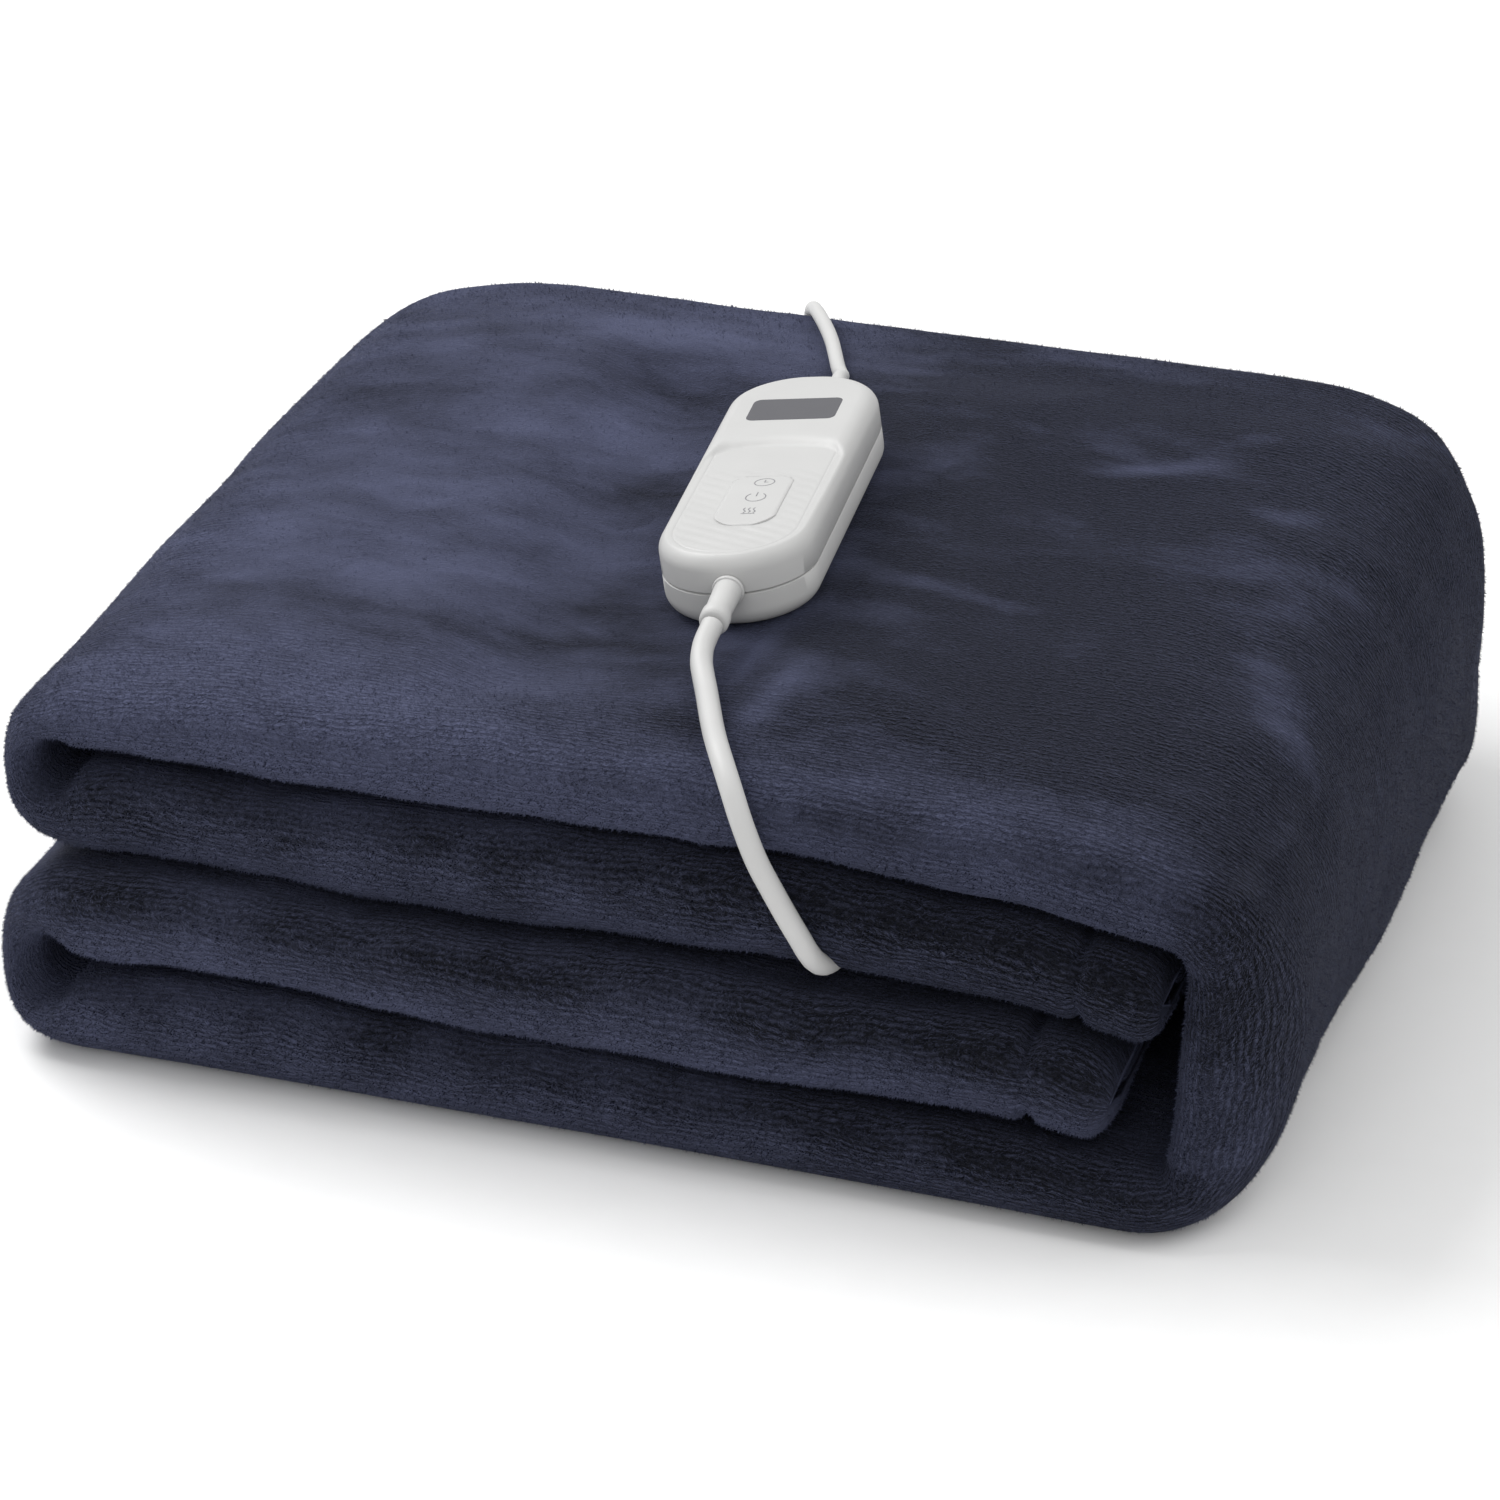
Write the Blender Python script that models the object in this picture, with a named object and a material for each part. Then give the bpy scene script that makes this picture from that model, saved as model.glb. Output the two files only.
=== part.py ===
"""A heated throw folded into a pack, with its hand controller, its lead and its mains lead.

The throw is one sheet. It is folded in three across its width, which makes a long strip. Both ends
of the strip are folded inwards, and that is folded in half, so four strips lie on each other:
the first on top, the fourth at the bottom, and the two hemmed ends inside, near the right wrap.

X runs along the pack's front edge, -Y faces the viewer and Z is up. The pack rests on z = 0, and
the origin is under its middle. All sizes are in metres.
"""

import math
from collections import namedtuple

import bmesh
import bpy
from mathutils import Euler, Matrix, Vector

# ---------------------------------------------------------------- driving sizes: the folded pack
PACK_WIDTH = 0.410
PACK_DEPTH = 0.362
PACK_HEIGHT = 0.129
STRIP_COUNT = 4
LAYER_GAP = 0.0012  # air between neighbouring strips, and between the layers inside a strip
SEAM_GAP = 0.0003  # clearance between pieces that touch

STRIP_PITCH = PACK_HEIGHT / STRIP_COUNT
STRIP_THICKNESS = STRIP_PITCH - LAYER_GAP
PLY = (STRIP_THICKNESS - 2 * LAYER_GAP) / 3  # one layer of the throw, with its pile

HEM_BACK_INSET = 0.007  # the hem on the strip's inner face, in from the back crease
HEM_FRONT_INSET = 0.024  # the hem tucked inside the front crease
ROLL_REACH = 0.030  # how far the two left folds bulge past the flat strips
WRAP_REACH = 0.046  # the same for the wrap at the right
WRAP_POWER = 2.7  # 2 is an ellipse; more gives the wrap a straighter back
ROLL_POWER = 2.2
STRIP_END_CLEARANCE = 0.005  # the second strip's hemmed end to the inside of the wrap
LOWER_END_CLEARANCE = 0.018  # the third strip's

# The pack's corners in plan, as radii.
PlanCorner = namedtuple("PlanCorner", "front back")
LEFT_CORNER = PlanCorner(0.016, 0.056)
RIGHT_CORNER = PlanCorner(0.042, 0.082)

# One row for each place along the strip: whole numbers are where a straight run meets a fold.
# Insets are in metres from the pack's front and back planes. Cuts are shares of the strip's
# thickness that are pressed off its outer and inner face.
FoldRow = namedtuple("FoldRow", "place front_inset back_inset outer_cut inner_cut")
FOLD_ROWS = (
    FoldRow(0.00, 0.016, 0.004, 0.14, 0.14),  # second strip, hemmed end
    FoldRow(0.03, 0.012, 0.002, 0.02, 0.02),
    FoldRow(0.07, 0.013, 0.002, 0.06, 0.06),  # its hem's seam
    FoldRow(0.10, 0.012, 0.001, 0.00, 0.00),
    FoldRow(0.55, 0.010, 0.000, 0.00, 0.00),
    FoldRow(0.92, 0.012, 0.000, 0.00, 0.05),
    FoldRow(1.50, 0.014, 0.006, 0.00, 0.58),  # upper left fold
    FoldRow(2.08, 0.012, 0.000, 0.00, 0.05),
    FoldRow(2.50, 0.011, 0.000, 0.00, 0.00),  # first strip, middle
    FoldRow(3.00, 0.013, 0.000, 0.00, 0.05),
    FoldRow(3.30, 0.011, 0.004, 0.00, 0.16),
    FoldRow(3.55, 0.006, 0.008, 0.00, 0.02),  # right wrap, a bulge on its inside
    FoldRow(3.80, 0.002, 0.012, 0.00, 0.16),
    FoldRow(4.00, 0.000, 0.012, 0.00, 0.06),
    FoldRow(4.50, 0.002, 0.012, 0.00, 0.00),  # fourth strip, middle
    FoldRow(4.92, 0.002, 0.012, 0.00, 0.05),
    FoldRow(5.50, 0.004, 0.016, 0.00, 0.58),  # lower left fold
    FoldRow(6.08, 0.000, 0.012, 0.00, 0.05),
    FoldRow(6.45, 0.000, 0.012, 0.00, 0.00),
    FoldRow(6.88, 0.002, 0.012, 0.00, 0.00),
    FoldRow(6.92, 0.003, 0.013, 0.06, 0.06),  # third strip, its hem's seam
    FoldRow(6.96, 0.002, 0.013, 0.02, 0.02),
    FoldRow(7.00, 0.007, 0.015, 0.14, 0.14),  # third strip, hemmed end
)

# How much higher or lower than even each strip's top lies along the front edge, by x.
FrontRow = namedtuple("FrontRow", "x fourth third second first")
FRONT_ROWS = (
    FrontRow(-0.205, -0.001, 0.003, 0.002, -0.006),
    FrontRow(-0.165, 0.001, 0.004, 0.005, -0.003),
    FrontRow(-0.130, 0.003, 0.003, 0.003, -0.001),
    FrontRow(-0.030, -0.001, 0.001, 0.005, 0.000),
    FrontRow(0.045, -0.002, 0.003, 0.006, 0.000),
    FrontRow(0.110, -0.002, 0.000, -0.001, -0.003),
    FrontRow(0.165, -0.006, -0.007, -0.007, -0.006),
    FrontRow(0.205, -0.006, -0.008, -0.009, -0.010),
)
FRONT_REACH = 0.110  # how far back from the front edge that unevenness fades out
EDGE_DROP = 0.006  # the top is this much lower along its left, right and back edges
EDGE_REACH = 0.075

# The crease between the second and third strips gapes where the lead goes in.
GAPE_X = 0.068
GAPE_WIDTH = 0.062
GAPE_START = 0.015  # it is widest this far in from the front, then closes over its depth
GAPE_DEPTH = 0.080
GAPE_OPENING = 0.0040

# Steps along each run and fold of the strip, and round its section.
RUN_STEPS = 12
ROLL_STEPS = 8
WRAP_STEPS = 12
OUTER_FACE_STEPS = 11
INNER_FACE_STEPS = 8
HIDDEN_FACE_STEPS = 5

# ---------------------------------------------------------------- driving sizes: the controller
CONTROLLER_LENGTH = 0.142
CONTROLLER_WIDTH = 0.050
CONTROLLER_HEIGHT = 0.0255
CONTROLLER_CORNER = 0.0235
CONTROLLER_WALL = 0.0020
PARTING_HEIGHT = 0.0125
CONTROLLER_PLACE = Vector((-0.0026, -0.0023, 0.1290))  # under its middle
CONTROLLER_YAW = math.radians(6.0)
CONTROLLER_TILT = math.radians(7.5)  # its right side is the higher one
CONTROLLER_TURN = Euler((0.0, -CONTROLLER_TILT, CONTROLLER_YAW))
SEAT_MARGIN = 0.024
SEAT_FADE = 0.045

# The cover's top has a display at its far end and a sunk panel with the key pad nearer the viewer.
DISPLAY_SIZE = (0.0296, 0.0164)
DISPLAY_Y = 0.0388
DISPLAY_CORNER = 0.0026
DISPLAY_THICKNESS = 0.0012
DISPLAY_SUNK = 0.0001
STEP_Y = 0.0100  # where the step down to the panel begins, at the sides
STEP_BOW = 0.0050  # and how much farther back in the middle
STEP_RUN = 0.0045
PANEL_MARGIN = 0.0022
PANEL_DEPTH = 0.0020  # at the step; the panel rises from there to the front
PANEL_SLOPE = 0.0170
PANEL_FLARE = 0.0006  # how much wider the sunk panel is at its rim
STEP_POINTS = 10
STEP_END = 0.16  # the share of the step at either side that curves round to the front
PAD_SIZE = (0.0200, 0.0370)
PAD_CENTRE = (0.0010, -0.0275)
PAD_CORNER = 0.0060
PAD_SUNK = 0.0008
PAD_PROUD = 0.0006
ROOF = 0.0050  # the cover's thickness under its top, which holds the display and the pad

# Insets and heights round the two shells, from the outside's flat face round to the inside's.
ShellRing = namedtuple("ShellRing", "inset height")
COVER_RINGS = (
    ShellRing(0.0060, CONTROLLER_HEIGHT),
    ShellRing(0.0034, CONTROLLER_HEIGHT - 0.0006),
    ShellRing(0.0014, CONTROLLER_HEIGHT - 0.0024),
    ShellRing(0.0004, CONTROLLER_HEIGHT - 0.0060),
    ShellRing(0.0000, PARTING_HEIGHT),
    ShellRing(CONTROLLER_WALL, PARTING_HEIGHT),
    ShellRing(CONTROLLER_WALL + 0.0006, CONTROLLER_HEIGHT - ROOF - 0.0030),
    ShellRing(CONTROLLER_WALL + 0.0040, CONTROLLER_HEIGHT - ROOF),
)
BASE_RINGS = (
    ShellRing(0.0065, 0.0),
    ShellRing(0.0030, 0.0008),
    ShellRing(0.0009, 0.0030),
    ShellRing(0.0000, 0.0070),
    ShellRing(0.0000, PARTING_HEIGHT - SEAM_GAP),
    ShellRing(CONTROLLER_WALL, PARTING_HEIGHT - SEAM_GAP),
    ShellRing(CONTROLLER_WALL, 0.0070),
    ShellRing(CONTROLLER_WALL + 0.0040, CONTROLLER_WALL),
)

# ---------------------------------------------------------------- driving sizes: the cords
LEAD_DIAMETER = 0.0070
MAINS_DIAMETER = 0.0050
TUBE_STEP = 2.0  # diameters between a tube's points
CURVE_STEPS = 12  # between a route's own points, when the smooth curve is measured

# Strain reliefs, as radii along their own axis from inside the shell outwards.
ReliefRing = namedtuple("ReliefRing", "radius along")
LEAD_RELIEF_RINGS = (
    ReliefRing(0.0042, -0.0030),
    ReliefRing(0.0042, 0.0006),
    ReliefRing(0.0054, 0.0006),
    ReliefRing(0.0055, 0.0018),
    ReliefRing(0.0049, 0.0026),
    ReliefRing(0.0044, 0.0150),
    ReliefRing(0.0048, 0.0154),
    ReliefRing(0.0048, 0.0186),
    ReliefRing(0.0040, 0.0194),
)
MAINS_RELIEF_RINGS = (
    ReliefRing(0.0036, -0.0030),
    ReliefRing(0.0036, 0.0006),
    ReliefRing(0.0048, 0.0006),
    ReliefRing(0.0048, 0.0018),
    ReliefRing(0.0042, 0.0026),
    ReliefRing(0.0030, 0.0200),
)
RELIEF_SIDES = 16
BORE_REACH = 0.010  # either way from the shell's end
LEAD_EXIT = Vector((0.0016, -CONTROLLER_LENGTH / 2, 0.0142))  # in the controller's own frame
MAINS_EXIT = Vector((0.0032, CONTROLLER_LENGTH / 2, 0.0126))

# How far the tips of the bent reliefs lie off their straight axes, in the same frame.
LEAD_RELIEF_BEND = Vector((-0.0010, 0.0, -0.0024))
MAINS_RELIEF_BEND = Vector((-0.0018, 0.0, -0.0020))
STRAIGHT_START = 0.010  # a cord leaves its relief straight for this far

# The lead's route past its relief: down on the top, over the front edge and through the second
# strip's lip into the crease.
LEAD_ROUTE = (
    (0.0081, -0.1095, 0.1365),
    (0.0108, -0.1155, 0.1348),
    (0.0142, -0.1228, 0.1340),
    (0.0182, -0.1320, 0.1338),
    (0.0225, -0.1420, 0.1340),
    (0.0268, -0.1513, 0.1340),
    (0.0316, -0.1605, 0.1334),
    (0.0374, -0.1692, 0.1290),
    (0.0428, -0.1745, 0.1202),
    (0.0478, -0.1762, 0.1095),
    (0.0527, -0.1762, 0.1002),
    (0.0575, -0.1760, 0.0915),
    (0.0611, -0.1755, 0.0850),
    (0.0632, -0.1742, 0.0800),
    (0.0647, -0.1713, 0.0755),
    (0.0657, -0.1671, 0.0724),
    (0.0664, -0.1620, 0.0706),
    (0.0669, -0.1560, 0.0700),
)
LEAD_BORE_POINTS = 3  # how many of the tube's last points the throw makes room for
LEAD_BORE_RADIUS = LEAD_DIAMETER / 2 + 0.0006
LEAD_BORE_PAST = 0.0030  # how far the room for the lead goes on past its end

# The mains lead: over the back edge, down behind the pack and along the floor to its coil.
MAINS_ROUTE = (
    (-0.0158, 0.1045, 0.1352),
    (-0.0190, 0.1125, 0.1324),
    (-0.0224, 0.1205, 0.1308),
    (-0.0265, 0.1305, 0.1300),
    (-0.0313, 0.1416, 0.1296),
    (-0.0364, 0.1520, 0.1290),
    (-0.0418, 0.1622, 0.1281),
    (-0.0468, 0.1718, 0.1263),
    (-0.0510, 0.1806, 0.1224),
    (-0.0537, 0.1868, 0.1144),
    (-0.0549, 0.1885, 0.1040),
    (-0.0560, 0.1890, 0.0880),
    (-0.0572, 0.1890, 0.0680),
    (-0.0584, 0.1894, 0.0470),
    (-0.0604, 0.1910, 0.0280),
    (-0.0650, 0.1958, 0.0130),
    (-0.0730, 0.2012, 0.0052),
    (-0.0840, 0.2044, 0.0030),
    (-0.0980, 0.2051, 0.0029),
    (-0.1180, 0.2052, 0.0029),
)

COIL_CENTRE = Vector((-0.1180, 0.2440, 0.0003))
COIL_RADIUS = 0.0285  # at the middle of its turns
COIL_TURNS_ACROSS = 3
COIL_TURNS_HIGH = 3
COIL_EDGE = 0.3  # the radius of the coil's rounded edges, in diameters of the lead
COIL_STEPS = 40

# From the coil's topmost turn down to the plug, which lies on the floor.
TAIL_ROUTE = (
    (-0.0986, 0.2776, 0.0128),
    (-0.0925, 0.2741, 0.0125),
    (-0.0855, 0.2704, 0.0115),
    (-0.0780, 0.2670, 0.0100),
    (-0.0700, 0.2648, 0.0085),
    (-0.0620, 0.2640, 0.0075),
    (-0.0558, 0.2640, 0.0071),
)

# The plug lies on the floor and points to +X. This is the middle of its cord end.
PLUG_BACK = Vector((-0.0330, 0.2640, 0.0071))
PLUG_RELIEF_RINGS = (
    ReliefRing(0.0030, 0.0000),
    ReliefRing(0.0046, 0.0196),
    ReliefRing(0.0048, 0.0220),
)
# Half width, half height and distance along the plug's body.
PlugRing = namedtuple("PlugRing", "half_width half_height along")
PLUG_RINGS = (
    PlugRing(0.0060, 0.0050, 0.0000),
    PlugRing(0.0072, 0.0060, 0.0015),
    PlugRing(0.0080, 0.0062, 0.0090),
    PlugRing(0.0120, 0.0064, 0.0170),
    PlugRing(0.0168, 0.0067, 0.0230),
    PlugRing(0.0174, 0.0068, 0.0345),
    PlugRing(0.0168, 0.0062, 0.0360),
)
PLUG_CORNER = 0.0042
PIN_SPACING = 0.0190
PIN_RINGS = (
    ReliefRing(0.0020, 0.0000),
    ReliefRing(0.0020, 0.0180),
    ReliefRing(0.0012, 0.0190),
)
TO_X = Matrix.Rotation(math.radians(-90), 3, "Z")  # turns what points along +Y to +X


LEAST_STRAIGHT = 0.00001  # what a corner's radius leaves straight on a side of an outline


# ---------------------------------------------------------------- small helpers
def ease(share):
    """Runs from 0 to 1 with a soft start and a soft end."""
    share = min(max(share, 0.0), 1.0)
    return share * share * (3.0 - 2.0 * share)


def mix(low, high, share):
    return low + (high - low) * share


def read_table(rows, place):
    """A table's columns at one place, eased between its rows. The first column is the place."""
    if place <= rows[0][0]:
        return rows[0]
    for low, high in zip(rows, rows[1:]):
        if place <= high[0]:
            share = ease((place - low[0]) / (high[0] - low[0]))
            return type(low)(*(mix(a, b, share) for a, b in zip(low, high)))
    return rows[-1]


def line_points(start, end, steps):
    """Points from start to end, without the last."""
    return [tuple(mix(a, b, i / steps) for a, b in zip(start, end)) for i in range(steps)]


def arc_points(centre, radius, start, end, steps):
    """Points of an arc, in degrees, without the last."""
    points = []
    for i in range(steps):
        angle = math.radians(mix(start, end, i / steps))
        points.append((centre[0] + radius * math.cos(angle), centre[1] + radius * math.sin(angle)))
    return points


def make_material(name, colour, roughness, metallic=0.0):
    material = bpy.data.materials.new(name)
    material.use_nodes = True
    shader = material.node_tree.nodes["Principled BSDF"]
    shader.inputs["Base Color"].default_value = (*colour, 1.0)
    shader.inputs["Roughness"].default_value = roughness
    shader.inputs["Metallic"].default_value = metallic
    return material


def add_object(name, data, material, parent=None):
    obj = bpy.data.objects.new(name, data)
    bpy.context.scene.collection.objects.link(obj)
    obj.data.materials.append(material)
    obj.parent = parent
    return obj


def add_cutter(name, bm):
    """A helper solid that another object's Boolean takes away. It isn't part of the object."""
    mesh = bpy.data.meshes.new(name)
    bmesh.ops.recalc_face_normals(bm, faces=bm.faces)
    bm.to_mesh(mesh)
    bm.free()
    cutter = bpy.data.objects.new(name, mesh)
    bpy.context.scene.collection.objects.link(cutter)
    cutter.hide_render = True
    cutter.display_type = "WIRE"
    return cutter


def cut(obj, cutter):
    """Takes a cutter away from an object that stands in the same frame."""
    cutter.parent = obj.parent
    modifier = obj.modifiers.new(cutter.name, "BOOLEAN")
    modifier.operation = "DIFFERENCE"
    modifier.solver = "EXACT"
    modifier.object = cutter


def mesh_from(bm, name, smooth_angle=math.radians(40)):
    """Closes off a bmesh as a mesh whose faces point outwards."""
    bmesh.ops.recalc_face_normals(bm, faces=bm.faces)
    mesh = bpy.data.meshes.new(name)
    bm.to_mesh(mesh)
    bm.free()
    mesh.shade_smooth()
    mesh.set_sharp_from_angle(angle=smooth_angle)
    return mesh


def loft(rings):
    """A closed solid through rings that all have the same number of points."""
    bm = bmesh.new()
    loops = [[bm.verts.new(point) for point in ring] for ring in rings]
    for low, high in zip(loops, loops[1:]):
        for i in range(len(low)):
            j = (i + 1) % len(low)
            bm.faces.new((low[i], low[j], high[j], high[i]))
    bm.faces.new(loops[0])
    bm.faces.new(loops[-1])
    return bm


# ---------------------------------------------------------------- the folded throw
def strip_section():
    """The outline of the throw folded in three, as (depth from the back, height) round one layer.

    Height runs from -half on the strip's inner face to +half on its outer face. The outer layer
    joins the middle one at the back crease and the inner one at the front crease.
    """
    half = STRIP_THICKNESS / 2
    layer = PLY / 2
    pitch = PLY + LAYER_GAP
    front = PACK_DEPTH - half
    back = pitch / 2 + layer
    hem = PACK_DEPTH - HEM_FRONT_INSET - layer
    outline = line_points((HEM_BACK_INSET + layer, -half), (front, -half), INNER_FACE_STEPS)
    outline += arc_points((front, 0.0), half, -90, 90, 8)
    outline += line_points((front, half), (back, half), OUTER_FACE_STEPS)
    outline += arc_points((back, pitch / 2), back, 90, 270, 6)
    outline += line_points((back, -layer), (hem, -layer), HIDDEN_FACE_STEPS)
    outline += arc_points((hem, 0.0), layer, -90, 90, 4)
    outline += line_points((hem, layer), (back, layer), HIDDEN_FACE_STEPS)
    outline += arc_points((back, pitch / 2), LAYER_GAP / 2, 270, 90, 2)
    outline += line_points((back, half - PLY), (front, half - PLY), HIDDEN_FACE_STEPS)
    outline += arc_points((front, 0.0), half - PLY, 90, -90, 6)
    outline += line_points((front, PLY - half), (HEM_BACK_INSET + layer, PLY - half), HIDDEN_FACE_STEPS)
    outline += arc_points((HEM_BACK_INSET + layer, layer - half), layer, 90, 270, 4)
    return outline


def turn_points(centre, reach, rise, power, start, end, steps):
    """The outer face round a fold: a squared ellipse, without its first and last point."""
    points = []
    for i in range(1, steps):
        angle = math.radians(mix(start, end, i / steps))
        across, up = math.cos(angle), math.sin(angle)
        x = centre[0] + math.copysign(abs(across) ** (2 / power), across) * reach
        z = centre[1] + math.copysign(abs(up) ** (2 / power), up) * rise
        points.append((x, z))
    return points


def fold_route():
    """Stations along the strip's outer face, as (place, x, z, outward direction)."""
    left = -PACK_WIDTH / 2 + ROLL_REACH
    right = PACK_WIDTH / 2 - WRAP_REACH
    middle = PACK_HEIGHT / 2
    wall = PACK_WIDTH / 2 - STRIP_THICKNESS
    upper_end = wall - STRIP_END_CLEARANCE
    lower_end = wall - LOWER_END_CLEARANCE
    above, below = middle + LAYER_GAP / 2, middle - LAYER_GAP / 2
    roll = (PACK_HEIGHT - above) / 2
    upper_roll = turn_points((left, above + roll), ROLL_REACH, roll, ROLL_POWER, 270, 90, ROLL_STEPS)
    wrap = turn_points((right, middle), WRAP_REACH, middle, WRAP_POWER, 90, -90, WRAP_STEPS)
    lower_roll = turn_points((left, roll), ROLL_REACH, roll, ROLL_POWER, 270, 90, ROLL_STEPS)
    runs = (
        end_run(upper_end, left, above),
        upper_roll,
        line_points((left, PACK_HEIGHT), (right, PACK_HEIGHT), RUN_STEPS) + [(right, PACK_HEIGHT)],
        wrap,
        line_points((right, 0.0), (left, 0.0), RUN_STEPS) + [(left, 0.0)],
        lower_roll,
        end_run(lower_end, left, below)[::-1],
    )
    return with_directions(runs)


def end_run(end, left, z):
    """A strip's run from its hemmed end to the left fold, with close stations at the hem."""
    hem = (0.0, 0.0045, 0.0115, 0.0200, 0.0270, 0.0345)
    points = [(end - step, z) for step in hem]
    return points + line_points((end - 0.050, z), (left, z), RUN_STEPS - 2) + [(left, z)]


def with_directions(runs):
    """Adds to every point its place along the strip and the direction its outer face looks."""
    points = [point for run in runs for point in run]
    places = []
    for number, run in enumerate(runs):
        is_turn = number % 2 == 1
        for i in range(len(run)):
            share = (i + 1) / (len(run) + 1) if is_turn else run_share(run, i)
            places.append(number + share)
    stations = []
    for i, (x, z) in enumerate(points):
        before = points[max(i - 1, 0)]
        after = points[min(i + 1, len(points) - 1)]
        along = Vector((after[0] - before[0], after[1] - before[1])).normalized()
        stations.append((places[i], x, z, Vector((-along.y, along.x))))
    return stations


def run_share(run, i):
    return (run[i][0] - run[0][0]) / (run[-1][0] - run[0][0])


def corner_cut(x, edge, radius):
    """How far a round corner of the plan draws the edge in at this x."""
    over = abs(x) - (abs(edge) - radius)
    if over <= 0.0 or x * edge <= 0.0:
        return 0.0
    return radius - math.sqrt(max(radius * radius - over * over, 0.0))


def round_in_plan(x, y):
    """Draws a point in, so that the pack's corners are round in plan."""
    edge = PACK_WIDTH / 2
    corner, edge = (RIGHT_CORNER, edge) if x > 0 else (LEFT_CORNER, -edge)
    front = -PACK_DEPTH / 2 + corner_cut(x, edge, corner.front)
    back = PACK_DEPTH / 2 - corner_cut(x, edge, corner.back)
    return mix(front, back, (y + PACK_DEPTH / 2) / PACK_DEPTH)


def front_offset(x, level):
    """How far the front edge is above its even height, between two strips' own offsets."""
    row = read_table(FRONT_ROWS, x)
    offsets = (0.0, row.fourth, row.third, row.second, row.first)
    low = min(max(int(level), 0), STRIP_COUNT - 1)
    return mix(offsets[low], offsets[low + 1], min(max(level - low, 0.0), 1.0))


def edge_drop(x, y):
    """The top's fall towards its left, right and back edges."""
    side = ease((abs(x) - (PACK_WIDTH / 2 - EDGE_REACH)) / EDGE_REACH)
    back = ease((y - (PACK_DEPTH / 2 - EDGE_REACH)) / EDGE_REACH)
    return EDGE_DROP * (side + back)


def gape(x, y):
    """How far the second and third strips stand apart where the lead goes in between them."""
    beside = 1.0 - ease(abs(x - GAPE_X) / GAPE_WIDTH)
    behind = 1.0 - ease((y + PACK_DEPTH / 2 - GAPE_START) / GAPE_DEPTH)
    return GAPE_OPENING * beside * behind


def seat_offset(x, y):
    """A point's place from the controller's middle, along its width and its length."""
    return Matrix.Rotation(-CONTROLLER_YAW, 2) @ (Vector((x, y)) - CONTROLLER_PLACE.xy)


def seat_share(x, y):
    """1 under the controller, fading to 0 around it."""
    place = seat_offset(x, y)
    across = abs(place.x) - (CONTROLLER_WIDTH / 2 + SEAT_MARGIN)
    along = abs(place.y) - (CONTROLLER_LENGTH / 2 + SEAT_MARGIN)
    return 1.0 - ease(max(across, along) / SEAT_FADE)


def seat_height(x, y):
    """The slope that the controller lies on, level again past its higher side."""
    across = min(seat_offset(x, y).x, CONTROLLER_WIDTH / 2)
    return CONTROLLER_PLACE.z - SEAM_GAP + across * math.tan(CONTROLLER_TILT)


def settle(x, y, z):
    """A point's height once the pack has settled: uneven in front, lower at the edges."""
    level = z / STRIP_PITCH
    front = 1.0 - ease((y + PACK_DEPTH / 2) / FRONT_REACH)
    lift = front * front_offset(x, level) - edge_drop(x, y) * level / STRIP_COUNT
    if 1.0 < level < 2.0:
        lift -= gape(x, y) * (level - 1.0)
    if level > 3.0:
        top = PACK_HEIGHT + front * front_offset(x, STRIP_COUNT) - edge_drop(x, y)
        lift += (seat_height(x, y) - top) * seat_share(x, y) * (level - 3.0)
    return z + lift


def blanket_rings():
    """The strip's section at every station of its route, in the folded pack."""
    section = strip_section()
    rings = []
    for place, x, z, outward in fold_route():
        row = read_table(FOLD_ROWS, place)
        thickness = STRIP_THICKNESS * (1.0 - row.outer_cut - row.inner_cut)
        back = PACK_DEPTH / 2 - row.back_inset
        front = -PACK_DEPTH / 2 + row.front_inset
        ring = []
        for depth, height in section:
            sunk = STRIP_THICKNESS * row.outer_cut + (0.5 - height / STRIP_THICKNESS) * thickness
            point_x = x - outward.x * sunk
            point_z = z - outward.y * sunk
            point_y = round_in_plan(point_x, mix(back, front, depth / PACK_DEPTH))
            ring.append((point_x, point_y, settle(point_x, point_y, point_z)))
        rings.append(ring)
    return rings


def tube_solid(points, radius):
    """A round tube along a line of points, closed at both ends."""
    loops = []
    for i, point in enumerate(points):
        along = points[min(i + 1, len(points) - 1)] - points[max(i - 1, 0)]
        side = along.cross(Vector((1.0, 0.0, 0.0))).normalized()
        up = along.cross(side).normalized()
        loop = []
        for k in range(RELIEF_SIDES):
            angle = 2 * math.pi * k / RELIEF_SIDES
            loop.append(point + radius * (math.cos(angle) * side + math.sin(angle) * up))
        loops.append(loop)
    return loft(loops)


def build_blanket():
    plush = make_material("navy_plush", (0.045, 0.050, 0.085), 0.95)
    bm = loft(blanket_rings())
    blanket = add_object("blanket", mesh_from(bm, "blanket"), plush)
    points = smooth_route(lead_route(), TUBE_STEP * LEAD_DIAMETER)[-LEAD_BORE_POINTS:]
    points.append(points[-1] + (points[-1] - points[-2]).normalized() * LEAD_BORE_PAST)
    cut(blanket, add_cutter("lead_room", tube_solid(points, LEAD_BORE_RADIUS)))


# ---------------------------------------------------------------- the controller
def rounded_outline(width, length, corner, centre=(0.0, 0.0), steps=6):
    """A rectangle with round corners, as points in plan."""
    corner = min(corner, width / 2 - LEAST_STRAIGHT, length / 2 - LEAST_STRAIGHT)
    points = []
    for side_x, side_y, start in ((1, 1, 0), (-1, 1, 90), (-1, -1, 180), (1, -1, 270)):
        middle = (
            centre[0] + side_x * (width / 2 - corner),
            centre[1] + side_y * (length / 2 - corner),
        )
        points += arc_points(middle, corner, start, start + 90, steps)
        end = math.radians(start + 90)
        points.append((middle[0] + corner * math.cos(end), middle[1] + corner * math.sin(end)))
    return points


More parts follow.
